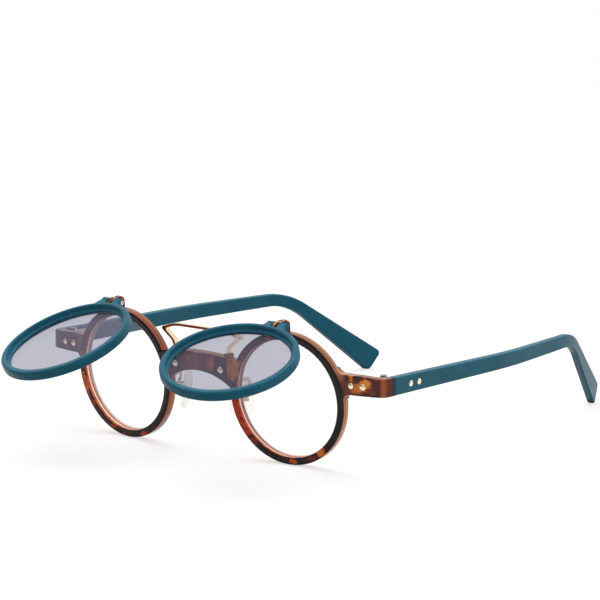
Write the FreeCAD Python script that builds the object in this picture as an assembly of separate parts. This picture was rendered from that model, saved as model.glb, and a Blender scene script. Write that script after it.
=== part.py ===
import FreeCAD
import Part
import math
import os

# Flip-up sunglasses: a moulded round front with clear lenses, a metal brow bar and adjustable nose pads,
# folding temples on barrel hinges, and two tinted sun rims that flip up on their own top hinges.
# Millimetres. +X is the wearer's left, the front looks along -Y, +Z is up. The glasses stand on the
# floor plane z = 0 on both rims and both temple tips, with the temples open and the sun rims raised.

# Front: two rims, leaning forward at the top and wrapped back towards the temples
LENS_SPACING = 68.0
FACE_TILT = 5.0
FACE_WRAP = 5.4
RIM_INNER_R = 18.85
RIM_WALL = 2.4
RIM_DEPTH = 3.4
RIM_FRONT_ROUND = 0.6
RIM_INNER_ROUND = 0.3
CLEAR_LENS_T = 1.6
CLEAR_LENS_SETBACK = 1.0
LENS_GRIP = 0.6
FIT_GAP = 0.05

# Bridge between the rims, arched below
BRIDGE_TOP_SHARE = 0.5506
BRIDGE_TOP_CROWN = 0.95
BRIDGE_HEIGHT = 6.1
BRIDGE_REACH_SHARE = 0.9045
BRIDGE_ARCH_SHARE = 0.72
BRIDGE_ARCH_DROP_SHARE = 0.3115
BRIDGE_NOSE = 0.15
BRIDGE_ROUND = 0.45
STUD_INSET = 3.35
STUD_BELOW_TOP = 4.9
STUD_HEAD_R = 1.1
STUD_SHANK_R = 0.7
STUD_SHANK_L = 2.2

# Brow bar: a flat strip bent to a roof over the bridge, its feet in two bosses
BAR_THICKNESS = 0.9
BAR_DEPTH = 2.2
BAR_ROUND = 0.3
BAR_FOOT_INSET = 1.75
BAR_CORNER_OUTSET = 3.25
BAR_FLAT_INSET = 1.95
BAR_RISE = 8.0
BAR_DROOP = 1.6
BAR_LEG_UPRIGHT = 1.6
BAR_LEG_BEND_R = 3.0
BAR_FLAT_BEND_R = 14.0
BAR_CORNER_R = 0.6
BAR_SOCKET = 1.2
BOSS_RISE = 1.0
BOSS_WALL = 0.5
BOSS_REACH = 3.0

# Temples: straight arm, bend behind the ear, flared tip with a square end
TEMPLE_OUTSET = 14.15
TEMPLE_T = 3.2
TIP_T = 2.6
JOINT_Y = 9.75
JOINT_GAP = 0.16
TEMPLE_TOP_ABOVE = 9.63
TEMPLE_H = 5.7
NECK_H = 4.1
BEND_Y = 113.5
BEND_DIP = 0.9
UPPER_BEND_R = 24.0
LOWER_BEND_R = 20.0
TIP_UPPER_ANGLE = 35.0
TIP_LOWER_ANGLE = 41.8
TIP_CUT_ANGLE = 35.0
TIP_CORNER_R = 1.6
TEMPLE_ROUND = 0.6
SWEEP_Y = 70.0
SWEEP_ANGLE = 8.4
HOOK_Y = 110.0
HOOK_ANGLE = 22.3
SWEEP_R = 150.0
HOOK_R = 70.0

# Endpieces: from the outer side of each rim round to the temple joint
END_T = 3.4
END_TOP_ABOVE = 10.08
END_BOTTOM_ABOVE = 3.83
END_FACE_Y = 2.4
END_TURN_OUTSET = 5.25
END_CORNER_Y = 4.35
END_CORNER_R = 3.6
END_TURN_R_SHARE = 4.494
END_ROUND = 0.4
END_TOP_BLEND_R = 3.5
END_LOWER_BLEND_R = 1.6

# Temple hinge: two metal leaves with interleaved knuckles on a vertical screw
LEAF_T = 0.8
LEAF_H = 4.4
BARREL_R = 1.2
BARREL_INSET = 0.25
KNUCKLE_GAP = 0.08
KNUCKLE_RISE = 0.4
SWING_GAP = 0.2
SCREW_R = 0.6
RUNNING_GAP = 0.03
SCREW_HEAD_R = 1.0
SCREW_HEAD_T = 0.45
FRONT_LEAF_OUTSET = 0.65
TEMPLE_LEAF_L = 6.8
TONGUE_T = 1.3
TONGUE_INSET = 1.2
RIVET_R = 0.7
RIVET_HEAD_R = 0.95
RIVET_HEAD_RISE = 0.3
RIVET_SEAT = 0.2
END_RIVET_OUTSET = 2.65
END_RIVET_STEP = 4.2
TEMPLE_RIVET_BACK = 7.9
TEMPLE_RIVET_STEP = 4.1
TEMPLE_RIVET_L = 1.8

# Sun rims: tinted lenses in slim rims that hinge above the front
SUN_INNER_STEP = 0.05
SUN_WALL = 2.8
SUN_DEPTH = 3.2
SUN_OUTER_ROUND = 0.8
SUN_INNER_ROUND = 0.45
SUN_LENS_T = 1.0
SUN_LENS_SETBACK = 0.6
SUN_GAP = 0.5
LEFT_RAISE_ANGLE = 75.9
RIGHT_RAISE_ANGLE = 71.5

# Flip hinges: a lug on each rim between two ears of its sun rim, both hinges in one line across the front
FLIP_AXIS_RISE = 2.45
FLIP_AXIS_FORWARD = 2.25
FLIP_BARREL_R = 1.2
LUG_W = 2.3
EAR_W = 2.5
EAR_GAP = 0.08
EAR_FLARE = 1.4
EAR_ROOT = 1.4
EAR_FOOT_FRONT = 0.6
EAR_FOOT_BACK = 0.9
HUMP_HALF_W = 1.95
HUMP_T = 2.1
HUMP_RISE = 0.1
HUMP_ROUND = 0.7
HUMP_UNDERCUT = 2.1
FLIP_SCREW_R = 0.5
FLIP_HEAD_R = 0.75
FLIP_HEAD_T = 0.35
FLIP_BLIND = 1.2

# Nose pads on bent wire arms
PAD_INSET = 1.55
PAD_BACK = 5.4
PAD_BELOW = 2.72
PAD_H = 13.4
PAD_W = 8.0
PAD_T = 2.2
PAD_DOME_R = 19.0
PAD_LOWER_R = 3.8
PAD_UPPER_R = 3.2
PAD_TOP_W = 7.2
PAD_SPLAY = 30.0
PAD_LEAN = 7.0
PAD_BOSS_R = 1.1
PAD_BOSS_L = 1.5
PAD_BOSS_H = 1.6
PAD_GAP = 0.08
PAD_BACK_GAP = 0.24
PAD_EAR_T = 0.5
PAD_SCREW_R = 0.35
PAD_SCREW_HEAD_R = 0.65
PAD_SCREW_HEAD_T = 0.3
ARM_R = 0.45
ARM_ROOT_ABOVE = 6.0
ARM_ROOT_WALL = 1.05
ARM_REACH = 4.4
ARM_ELBOW = 2.2
ARM_BEND_R = 1.0
ARM_SINK = 0.8

# Slotted heads of all the screws
SLOT_W = 0.3
SLOT_DEPTH = 0.18
HEAD_ROUND = 0.12

# Values that follow from the sizes above
RIM_OUTER_R = RIM_INNER_R + RIM_WALL
SUN_INNER_R = RIM_INNER_R - SUN_INNER_STEP
SUN_OUTER_R = SUN_INNER_R + SUN_WALL
FLIP_AXIS_R = SUN_OUTER_R + FLIP_AXIS_RISE
LENS_X = LENS_SPACING / 2
RIM_SIDE_X = LENS_X + RIM_OUTER_R
BRIDGE_HALF = LENS_X - RIM_OUTER_R
BRIDGE_TOP = RIM_OUTER_R * BRIDGE_TOP_SHARE
BRIDGE_REACH = LENS_X - RIM_INNER_R * BRIDGE_REACH_SHARE
BRIDGE_ARCH_HALF = BRIDGE_REACH * BRIDGE_ARCH_SHARE
BRIDGE_ARCH_DROP = BRIDGE_ARCH_HALF * BRIDGE_ARCH_DROP_SHARE
STUD_X = BRIDGE_HALF - STUD_INSET
BAR_FOOT_X = BRIDGE_HALF - BAR_FOOT_INSET
BAR_CORNER_X = BRIDGE_HALF + BAR_CORNER_OUTSET
BAR_FLAT_X = BRIDGE_HALF - BAR_FLAT_INSET
PAD_X = BRIDGE_HALF - PAD_INSET
TILT = math.radians(FACE_TILT)
WRAP = math.radians(FACE_WRAP)
LOWEST_RIM = (RIM_OUTER_R - RIM_FRONT_ROUND) * math.cos(TILT) - RIM_FRONT_ROUND * math.sin(TILT)
LENS_Z = LOWEST_RIM + RIM_FRONT_ROUND
PAD_Z = LENS_Z - PAD_BELOW
END_TOP_Z = LENS_Z + END_TOP_ABOVE
END_BOTTOM_Z = LENS_Z + END_BOTTOM_ABOVE
END_TURN_X = RIM_SIDE_X + END_TURN_OUTSET
END_RIVET_X = RIM_SIDE_X + END_RIVET_OUTSET
FRONT_LEAF_X = RIM_SIDE_X + FRONT_LEAF_OUTSET
TEMPLE_TOP_Z = LENS_Z + TEMPLE_TOP_ABOVE
TEMPLE_OUTER_X = RIM_SIDE_X + TEMPLE_OUTSET
END_TURN_R = (TEMPLE_OUTER_X - END_TURN_X) * END_TURN_R_SHARE
TEMPLE_INNER_X = TEMPLE_OUTER_X - TEMPLE_T
HINGE_X = TEMPLE_INNER_X - BARREL_INSET - BARREL_R
HINGE_Z = TEMPLE_TOP_Z - TEMPLE_H / 2
HINGE_REACH = LUG_W / 2 + EAR_GAP + EAR_W
KNUCKLE_H = LEAF_H / 3 + KNUCKLE_RISE
ARM_ROOT_R = RIM_OUTER_R - ARM_ROOT_WALL
# Longer than anything that is cut or trimmed with it
CUT_LENGTH = LENS_SPACING

PLANES = {
    "XY": (lambda a, b, c: FreeCAD.Vector(a, b, c), FreeCAD.Vector(0, 0, 1)),
    "XZ": (lambda a, b, c: FreeCAD.Vector(a, c, b), FreeCAD.Vector(0, 1, 0)),
    "YZ": (lambda a, b, c: FreeCAD.Vector(c, a, b), FreeCAD.Vector(1, 0, 0)),
}
X_AXIS = FreeCAD.Vector(1, 0, 0)
Y_AXIS = FreeCAD.Vector(0, 1, 0)
Z_AXIS = FreeCAD.Vector(0, 0, 1)
ORIGIN = FreeCAD.Vector(0, 0, 0)


def rounded_edges(points, radii, closed):
    """Lines through the points, each inner corner rounded by a tangent arc of its own radius."""
    count = len(points)
    edges = []
    starts = []
    ends = []
    arcs = []
    for i, (point, radius) in enumerate(zip(points, radii)):
        open_end = not closed and i in (0, count - 1)
        if open_end or radius <= 0:
            starts.append(point)
            ends.append(point)
            arcs.append(None)
            continue
        back = (points[i - 1] - point).normalize()
        ahead = (points[(i + 1) % count] - point).normalize()
        half = back.getAngle(ahead) / 2
        reach = radius / math.tan(half)
        middle = point + (back + ahead).normalize() * (radius / math.sin(half) - radius)
        starts.append(point + back * reach)
        ends.append(point + ahead * reach)
        arcs.append(Part.Arc(starts[-1], middle, ends[-1]).toShape())
    for i in range(count):
        if arcs[i] is not None:
            edges.append(arcs[i])
        if closed or i < count - 1:
            after = starts[(i + 1) % count]
            if (after - ends[i]).Length > 1e-7:
                edges.append(Part.makeLine(ends[i], after))
    return edges


def prism(corners, plane, low, high):
    """Solid of a rounded outline, corners as (a, b, radius), between two levels across its plane."""
    to_space, normal = PLANES[plane]
    points = [to_space(a, b, low) for a, b, _ in corners]
    wire = Part.Wire(rounded_edges(points, [r for _, _, r in corners], True))
    return Part.Face(wire).extrude(normal * (high - low))


def ring(corners):
    """Solid of a rounded (radius, depth) section turned about the Y axis."""
    points = [FreeCAD.Vector(r, y, 0) for r, y, _ in corners]
    wire = Part.Wire(rounded_edges(points, [c[2] for c in corners], True))
    return Part.Face(wire).revolve(ORIGIN, Y_AXIS, 360)


def offset_line(points, distance):
    """The open polyline (a, b) moved sideways by a distance, corners mitred."""
    moved = []
    for i, (a, b) in enumerate(points):
        sides = []
        if i > 0:
            sides.append((a - points[i - 1][0], b - points[i - 1][1]))
        if i < len(points) - 1:
            sides.append((points[i + 1][0] - a, points[i + 1][1] - b))
        normals = [(-dy / math.hypot(dx, dy), dx / math.hypot(dx, dy)) for dx, dy in sides]
        na = sum(n[0] for n in normals) / len(normals)
        nb = sum(n[1] for n in normals) / len(normals)
        square = na * na + nb * nb
        moved.append((a + na * distance / square, b + nb * distance / square))
    return moved


def cylinder(radius, start, direction, length):
    """A plain cylinder from a start point along a direction."""
    return Part.makeCylinder(radius, length, start, direction)


def mirrored(shape):
    """The wearer's right-hand copy of a left-hand piece."""
    return shape.mirror(ORIGIN, X_AXIS)


def on_face(shape):
    """Turns a piece from lens coordinates (origin at the lens centre, +Y into depth) to the left rim."""
    placed = shape.copy()
    placed.rotate(ORIGIN, X_AXIS, FACE_TILT)
    placed.rotate(ORIGIN, Z_AXIS, FACE_WRAP)
    placed.translate(FreeCAD.Vector(LENS_X, 0, LENS_Z))
    return placed


def on_middle(shape):
    """Turns a piece from bridge coordinates (origin between the lenses, +Y into depth) to the front."""
    placed = shape.copy()
    placed.rotate(ORIGIN, X_AXIS, FACE_TILT)
    placed.translate(FreeCAD.Vector(0, 0, LENS_Z))
    return placed


def flip_point():
    """Middle of the left flip hinge, on its axis."""
    return on_face(Part.Vertex(0, -FLIP_AXIS_FORWARD, FLIP_AXIS_R)).Point


def on_flip_hinge(shape):
    """Turns a piece from hinge coordinates (origin on the axis, +X along it, +Y back) to the left hinge."""
    placed = shape.copy()
    placed.rotate(ORIGIN, X_AXIS, FACE_TILT)
    placed.translate(flip_point())
    return placed


def raised(shape, angle):
    """Swings a closed sun rim piece up about the left flip hinge."""
    swung = shape.copy()
    swung.rotate(flip_point(), -X_AXIS, angle)
    return swung


# Lenses and rims


def lens_disc(inner_r, front, thickness, grow):
    """A lens whose bevelled edge reaches into the groove of a rim; grow opens it up to cut the groove."""
    outer = inner_r + LENS_GRIP + grow
    flat = inner_r - FIT_GAP + grow
    back = front + thickness
    middle = (front + back) / 2
    corners = [(0, front - grow, 0), (flat, front - grow, 0), (outer, middle, 0), (flat, back + grow, 0),
               (0, back + grow, 0)]
    return ring(corners)


def rim_ring(inner_r, wall, front, depth, outer_round, inner_round):
    """A plain rim with rounded edges, before its lens groove."""
    outer = inner_r + wall
    back = front + depth
    return ring([(inner_r, front, inner_round), (outer, front, outer_round), (outer, back, outer_round),
                 (inner_r, back, inner_round)])


def clear_lens():
    """The left clear lens in lens coordinates."""
    return lens_disc(RIM_INNER_R, CLEAR_LENS_SETBACK, CLEAR_LENS_T, 0)


def front_rim():
    """One rim with its lens groove, in lens coordinates."""
    rim = rim_ring(RIM_INNER_R, RIM_WALL, 0, RIM_DEPTH, RIM_FRONT_ROUND, RIM_INNER_ROUND)
    return rim.cut(lens_disc(RIM_INNER_R, CLEAR_LENS_SETBACK, CLEAR_LENS_T, FIT_GAP))


def rim_core(shape):
    """Cuts away what of a front piece would reach into the lens opening."""
    core = cylinder(RIM_INNER_R + RIM_WALL / 2, FreeCAD.Vector(0, -CUT_LENGTH / 2, 0), Y_AXIS, CUT_LENGTH)
    return shape.cut(on_face(core))


# Front moulding


def bridge_slope():
    """How fast the bridge's front face falls back from the middle: half as fast as the rims' planes."""
    return math.tan(WRAP) / 2


def bridge_front_y(x):
    """Depth of the bridge's front face at a distance from the middle, in bridge coordinates."""
    rim_edge = LENS_X - RIM_INNER_R
    edge_y = -RIM_INNER_R * math.tan(WRAP)
    return edge_y - BRIDGE_NOSE - (rim_edge - x) * bridge_slope()


def bridge():
    """The bridge between the rims: crowned above, arched below, bowed forward in plan."""
    crown_r = (BRIDGE_ARCH_HALF ** 2 + BRIDGE_TOP_CROWN ** 2) / (2 * BRIDGE_TOP_CROWN)
    arch_r = (BRIDGE_ARCH_HALF ** 2 + BRIDGE_ARCH_DROP ** 2) / (2 * BRIDGE_ARCH_DROP)
    under = BRIDGE_TOP - BRIDGE_HEIGHT
    body = cylinder(crown_r, FreeCAD.Vector(0, -CUT_LENGTH / 2, BRIDGE_TOP - crown_r), Y_AXIS, CUT_LENGTH)
    arch = cylinder(arch_r, FreeCAD.Vector(0, -CUT_LENGTH / 2, under - arch_r), Y_AXIS, CUT_LENGTH)
    nose = bridge_front_y(0)
    reach = BRIDGE_REACH
    side = bridge_front_y(reach)
    plan = [(-reach, side, 0), (0, nose, reach), (reach, side, 0), (reach, side + RIM_DEPTH, 0),
            (0, nose + RIM_DEPTH, reach), (-reach, side + RIM_DEPTH, 0)]
    block = prism(plan, "XY", under - arch_r, BRIDGE_TOP * 2)
    shape = block.common(body).cut(arch)
    long_edges = [e for e in shape.Edges if e.BoundBox.XLength > reach / 2]
    return shape.makeFillet(BRIDGE_ROUND, long_edges)


def endpiece_plan(inset):
    """Plan corners of an endpiece's outer and inner walls; inset moves the inner wall inwards."""
    outer = [(LENS_X, END_FACE_Y - (END_TURN_X - LENS_X) * math.tan(WRAP)), (END_TURN_X, END_FACE_Y),
             (TEMPLE_OUTER_X, END_CORNER_Y), (TEMPLE_OUTER_X, JOINT_Y - JOINT_GAP / 2)]
    inner = offset_line(outer, END_T)
    inner[-2] = (TEMPLE_INNER_X, inner[-2][1])
    inner[-1] = (TEMPLE_INNER_X, JOINT_Y - JOINT_GAP / 2)
    return outer, offset_line(inner, inset) if inset else inner


def rim_blend(level, bend_r):
    """Side corners where a level edge curves into the rim: where it touches the rim, then its corner.

    The level is above the lens centre; a positive bend curves up to the rim, a negative one down to it.
    """
    rim_r = RIM_OUTER_R * math.cos(TILT)
    up = (level + bend_r) / (rim_r + abs(bend_r))
    out = math.sqrt(1 - up * up)
    touch = (LENS_X + rim_r * out, LENS_Z + rim_r * up, 0)
    corner = (LENS_X + (rim_r - level * up) / out, LENS_Z + level, abs(bend_r))
    return touch, corner


def endpiece():
    """The left endpiece: plan sweep to the temple joint, blended into the rim, tapering to the joint."""
    outer, inner = endpiece_plan(0)
    outer_r = [0, END_TURN_R, END_CORNER_R, 0]
    inner_r = [0, END_TURN_R - END_T, END_CORNER_R / 2, 0]
    plan = [(x, y, r) for (x, y), r in zip(outer, outer_r)]
    plan += [(x, y, r) for (x, y), r in zip(reversed(inner), reversed(inner_r))]
    block = prism(plan, "XY", 0, CUT_LENGTH)
    low_touch, low_corner = rim_blend(END_BOTTOM_ABOVE, -END_LOWER_BLEND_R)
    top_touch, top_corner = rim_blend(END_TOP_ABOVE, END_TOP_BLEND_R)
    side = [(LENS_X, low_touch[1], 0), low_touch, low_corner, (END_TURN_X, END_BOTTOM_Z, 0),
            (TEMPLE_OUTER_X, TEMPLE_TOP_Z - TEMPLE_H, 0), (TEMPLE_OUTER_X, TEMPLE_TOP_Z, 0),
            (END_TURN_X, END_TOP_Z, 0), top_corner, top_touch, (LENS_X, top_touch[1], 0)]
    shape = block.common(prism(side, "XZ", -CUT_LENGTH / 2, CUT_LENGTH / 2))
    edges = []
    for edge in shape.Edges:
        box = edge.BoundBox
        if box.XLength > END_CORNER_R / 2 and box.ZLength < END_CORNER_R:
            edges.append(edge)
    return shape.makeFillet(END_ROUND, edges)


def lug():
    """The hinge lug on top of a rim: a hump behind the ears and a knuckle between them."""
    front = FLIP_BARREL_R + SWING_GAP
    back = front + HUMP_T
    foot = RIM_OUTER_R - RIM_WALL / 2 - FLIP_AXIS_R
    top = FLIP_BARREL_R + HUMP_RISE
    rim_face = FLIP_AXIS_FORWARD + RIM_FRONT_ROUND
    side = [(rim_face, foot, 0), (back, foot, 0), (back, top, HUMP_ROUND), (front, top, HUMP_ROUND),
            (front, -HUMP_UNDERCUT, 0), (rim_face, -HUMP_UNDERCUT - rim_face + front, 0)]
    hump = prism(side, "YZ", -HUMP_HALF_W, HUMP_HALF_W)
    face = [(-HUMP_HALF_W, foot, 0), (HUMP_HALF_W, foot, 0), (HUMP_HALF_W, top, HUMP_ROUND * 2),
            (-HUMP_HALF_W, top, HUMP_ROUND * 2)]
    hump = hump.common(prism(face, "XZ", 0, back * 2))
    neck = [(0, -FLIP_BARREL_R, 0), (back, -FLIP_BARREL_R, 0), (back, FLIP_BARREL_R, 0),
            (0, FLIP_BARREL_R, 0)]
    knuckle = prism(neck, "YZ", -LUG_W / 2, LUG_W / 2)
    knuckle = knuckle.fuse(hinge_rod(FLIP_BARREL_R, -LUG_W / 2, LUG_W / 2))
    hole = hinge_rod(FLIP_SCREW_R + RUNNING_GAP, -HINGE_REACH, HINGE_REACH)
    return on_flip_hinge(hump.fuse(knuckle).cut(hole))


def boss_top():
    """Height of the brow bar's bosses."""
    return LENS_Z + BRIDGE_TOP - BRIDGE_TOP_CROWN + BOSS_RISE


def bar_y():
    """Front and back of the brow bar in depth, its back in line with the bridge's back."""
    back = bridge_front_y(BAR_FOOT_X) + RIM_DEPTH - BRIDGE_TOP * math.sin(TILT) + BOSS_WALL
    return back - BAR_DEPTH, back


def bar_boss():
    """A moulded boss on the bridge that holds one foot of the brow bar."""
    low, high = bar_y()
    half = BAR_THICKNESS / 2 + BOSS_WALL
    front = low - BOSS_WALL
    back = high + BOSS_WALL
    corners = [(BAR_FOOT_X - half, front, BOSS_WALL), (BAR_FOOT_X + half, front, BOSS_WALL),
               (BAR_FOOT_X + half, back, BOSS_WALL), (BAR_FOOT_X - half, back, BOSS_WALL)]
    return prism(corners, "XY", boss_top() - BOSS_REACH, boss_top())


def pair(shape):
    """A left-hand piece together with its right-hand copy."""
    return [shape, mirrored(shape)]


def front_frame(cutters):
    """The whole moulded front, with seats for everything that is fixed to it."""
    side_pieces = pair(on_face(front_rim())) + pair(rim_core(endpiece())) + pair(lug()) + pair(bar_boss())
    middle = rim_core(on_middle(bridge()))
    middle = mirrored(rim_core(mirrored(middle)))
    body = middle.multiFuse(side_pieces)
    body = body.cut(Part.makeCompound(cutters))
    return body.removeSplitter()


# Trim on the front


def bar_points():
    """Middle line of the brow bar's strip, from the right foot over the top to the left foot."""
    foot = boss_top() - BAR_SOCKET
    crest = foot + BAR_SOCKET + BAR_RISE - BOSS_RISE
    half = [(BAR_FOOT_X, foot), (BAR_FOOT_X, boss_top() + BAR_LEG_UPRIGHT),
            (BAR_CORNER_X, crest - BAR_DROOP), (BAR_FLAT_X, crest)]
    return [(-x, z) for x, z in half] + list(reversed(half))


def brow_bar(grow=0):
    """The bent strip of the brow bar; grow opens it up to cut the sockets in the bosses."""
    line = bar_points()
    radii = [0, BAR_LEG_BEND_R, BAR_CORNER_R, BAR_FLAT_BEND_R]
    radii = radii + list(reversed(radii))
    half = BAR_THICKNESS / 2 + grow
    above = [(x, z, r) for (x, z), r in zip(offset_line(line, half), radii)]
    below = [(x, z, r) for (x, z), r in zip(offset_line(line, -half), radii)]
    low, high = bar_y()
    strip = prism(above + list(reversed(below)), "XZ", low - grow, high + grow)
    if grow:
        return strip
    return strip.makeFillet(BAR_ROUND, [e for e in strip.Edges if e.BoundBox.YLength < BAR_ROUND])


def stud_place():
    """Seat point and outward direction of the left bridge stud, in bridge coordinates."""
    slope = math.atan(bridge_slope())
    seat = FreeCAD.Vector(STUD_X, bridge_front_y(STUD_X), BRIDGE_TOP - STUD_BELOW_TOP)
    return seat, FreeCAD.Vector(math.sin(slope), -math.cos(slope), 0)


def domed_pin(seat, outward, head_r, head_rise, sunk, shank_r, shank_l, grow=0):
    """A rivet or stud: domed head sunk a little into its face, plain shank behind."""
    base = seat - outward * sunk
    shank = cylinder(shank_r + grow, base - outward * shank_l, outward, shank_l)
    if grow:
        return shank.fuse(cylinder(head_r + grow, base, outward, sunk + head_rise))
    ball_r = (head_r ** 2 + head_rise ** 2) / (2 * head_rise)
    ball = Part.makeSphere(ball_r, seat + outward * (head_rise - ball_r))
    return shank.fuse(cylinder(head_r, base, outward, sunk + head_rise).common(ball))


def bridge_stud(grow=0):
    """The left domed stud on the bridge's front."""
    seat, outward = stud_place()
    rise = STUD_HEAD_R / 2
    pin = domed_pin(seat, outward, STUD_HEAD_R, rise, RIVET_SEAT, STUD_SHANK_R, STUD_SHANK_L, grow)
    return on_middle(pin)


# Temple joint


def end_rivet(index, grow=0):
    """One of the rivets that hold the front hinge leaf to the endpiece."""
    x = END_RIVET_X + index * END_RIVET_STEP
    outer, _ = endpiece_plan(0)
    before = math.atan2(outer[1][1] - outer[0][1], outer[1][0] - outer[0][0])
    after = math.atan2(outer[2][1] - outer[1][1], outer[2][0] - outer[1][0])
    reach = END_TURN_R * math.tan((after - before) / 2)
    turned = min(max((x - END_TURN_X + reach) / (2 * reach), 0), 1)
    angle = before + (after - before) * turned
    eased = END_TURN_R * (1 / math.cos((after - before) / 2) - 1) * (1 - abs(2 * turned - 1)) ** 2
    line = before if x < END_TURN_X else after
    y = END_FACE_Y + (x - END_TURN_X) * math.tan(line) + eased
    seat = FreeCAD.Vector(x, y, HINGE_Z)
    outward = FreeCAD.Vector(math.sin(angle), -math.cos(angle), 0)
    length = END_T - RIVET_SEAT + LEAF_T
    return domed_pin(seat, outward, RIVET_HEAD_R, RIVET_HEAD_RISE, RIVET_SEAT, RIVET_R, length, grow)


def temple_rivet(index, grow=0):
    """One of the short trim rivets in the temple's outer side."""
    y = JOINT_Y + TEMPLE_RIVET_BACK + index * TEMPLE_RIVET_STEP
    seat = FreeCAD.Vector(TEMPLE_OUTER_X, y, HINGE_Z)
    length = TEMPLE_RIVET_L
    return domed_pin(seat, X_AXIS, RIVET_HEAD_R, RIVET_HEAD_RISE, RIVET_SEAT, RIVET_R, length, grow)


def hinge_column(radius, low, high):
    """A vertical cylinder on the temple hinge's axis between two heights."""
    return cylinder(radius, FreeCAD.Vector(HINGE_X, JOINT_Y, low), Z_AXIS, high - low)


def knuckle_levels():
    """Heights where the hinge's three knuckles meet, from bottom to top."""
    low = HINGE_Z - 1.5 * KNUCKLE_H
    return [low + i * KNUCKLE_H for i in range(4)]


def front_leaf():
    """Hinge leaf on the endpiece's inner side, with the upper and lower knuckles."""
    _, inner = endpiece_plan(0)
    _, back = endpiece_plan(LEAF_T)
    plan = [(x, y, 0) for x, y in offset_line(inner, -LEAF_T)]
    plan += [(x, y, 0) for x, y in reversed(back)]
    plate = prism(plan, "XY", HINGE_Z - LEAF_H / 2, HINGE_Z + LEAF_H / 2)
    keep = Part.makeBox(LENS_X, JOINT_Y * 2, CUT_LENGTH, FreeCAD.Vector(FRONT_LEAF_X, -JOINT_Y, 0))
    plate = plate.common(keep).cut(endpiece())
    levels = knuckle_levels()
    plate = plate.cut(hinge_column(BARREL_R + SWING_GAP, levels[1] - KNUCKLE_GAP, levels[2] + KNUCKLE_GAP))
    lower = hinge_column(BARREL_R, levels[0], levels[1] - KNUCKLE_GAP / 2)
    upper = hinge_column(BARREL_R, levels[2] + KNUCKLE_GAP / 2, levels[3])
    holes = [hinge_column(SCREW_R + RUNNING_GAP, 0, CUT_LENGTH)]
    holes += [end_rivet(i, FIT_GAP) for i in range(2)]
    return plate.multiFuse([lower, upper]).cut(Part.makeCompound(holes)).removeSplitter()


def leaf_tongue(grow=0):
    """The tongue on the temple leaf that is sunk into the temple; grow opens it up to cut the pocket."""
    inset = TONGUE_INSET - grow
    corner = FreeCAD.Vector(TEMPLE_INNER_X - grow, JOINT_Y + JOINT_GAP / 2 + inset,
                            HINGE_Z - LEAF_H / 2 + inset)
    return Part.makeBox(TONGUE_T + 2 * grow, TEMPLE_LEAF_L - 2 * inset, LEAF_H - 2 * inset, corner)


def temple_leaf():
    """Hinge leaf on the temple's inner side, with the middle knuckle and a sunk tongue."""
    corner = FreeCAD.Vector(TEMPLE_INNER_X - LEAF_T, JOINT_Y + JOINT_GAP / 2, HINGE_Z - LEAF_H / 2)
    plate = Part.makeBox(LEAF_T, TEMPLE_LEAF_L, LEAF_H, corner)
    levels = knuckle_levels()
    swing = BARREL_R + SWING_GAP
    plate = plate.cut(hinge_column(swing, levels[0] - KNUCKLE_H, levels[1] + KNUCKLE_GAP))
    plate = plate.cut(hinge_column(swing, levels[2] - KNUCKLE_GAP, levels[3] + KNUCKLE_H))
    middle = hinge_column(BARREL_R, levels[1] + KNUCKLE_GAP / 2, levels[2] - KNUCKLE_GAP / 2)
    hole = hinge_column(SCREW_R + RUNNING_GAP, 0, CUT_LENGTH)
    return plate.multiFuse([middle, leaf_tongue()]).cut(hole).removeSplitter()


def slotted_screw(shaft_r, shaft_l, head_r, head_t):
    """A screw that stands on the origin along +Z, with a slotted head on top."""
    head = cylinder(head_r, Z_AXIS * shaft_l, Z_AXIS, head_t)
    rims = [e for e in head.Edges if e.Closed and e.CenterOfMass.z > shaft_l + head_t / 2]
    head = head.makeFillet(HEAD_ROUND, rims)
    corner = FreeCAD.Vector(-head_r, -SLOT_W / 2, shaft_l + head_t - SLOT_DEPTH)
    slot = Part.makeBox(head_r * 2, SLOT_W, head_t, corner)
    return cylinder(shaft_r, ORIGIN, Z_AXIS, shaft_l).fuse(head.cut(slot)).removeSplitter()


def hinge_screw():
    """The temple hinge's screw, its head on top of the upper knuckle."""
    levels = knuckle_levels()
    screw = slotted_screw(SCREW_R, levels[3] - levels[0], SCREW_HEAD_R, SCREW_HEAD_T)
    screw.translate(FreeCAD.Vector(HINGE_X, JOINT_Y, levels[0]))
    return screw


def temple_side():
    """Side outline of a temple: straight arm, bend, flared tip whose rounded corner meets the floor."""
    start = JOINT_Y + JOINT_GAP / 2
    lower = math.radians(TIP_LOWER_ANGLE)
    upper = math.radians(TIP_UPPER_ANGLE)
    cut = math.radians(TIP_CUT_ANGLE)
    bend_top = (BEND_Y, TEMPLE_TOP_Z - BEND_DIP)
    bend_low = (BEND_Y, TEMPLE_TOP_Z - BEND_DIP - NECK_H)
    low_z = TIP_CORNER_R * (1 - (math.sin(lower) + math.cos(cut)) / math.cos(lower - cut))
    low_y = bend_low[0] + (bend_low[1] - low_z) / math.tan(lower)
    # The end cut climbs from the low corner at TIP_CUT_ANGLE from upright until it meets the upper edge.
    rise = (bend_top[1] - low_z - (low_y - bend_top[0]) * math.tan(upper))
    climb = rise / (math.cos(cut) + math.sin(cut) * math.tan(upper))
    high = (low_y + climb * math.sin(cut), low_z + climb * math.cos(cut))
    return [(start, TEMPLE_TOP_Z - TEMPLE_H, 0), (start, TEMPLE_TOP_Z, 0), bend_top + (UPPER_BEND_R,),
            high + (TIP_CORNER_R,), (low_y, low_z, TIP_CORNER_R), bend_low + (LOWER_BEND_R,)]


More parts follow.
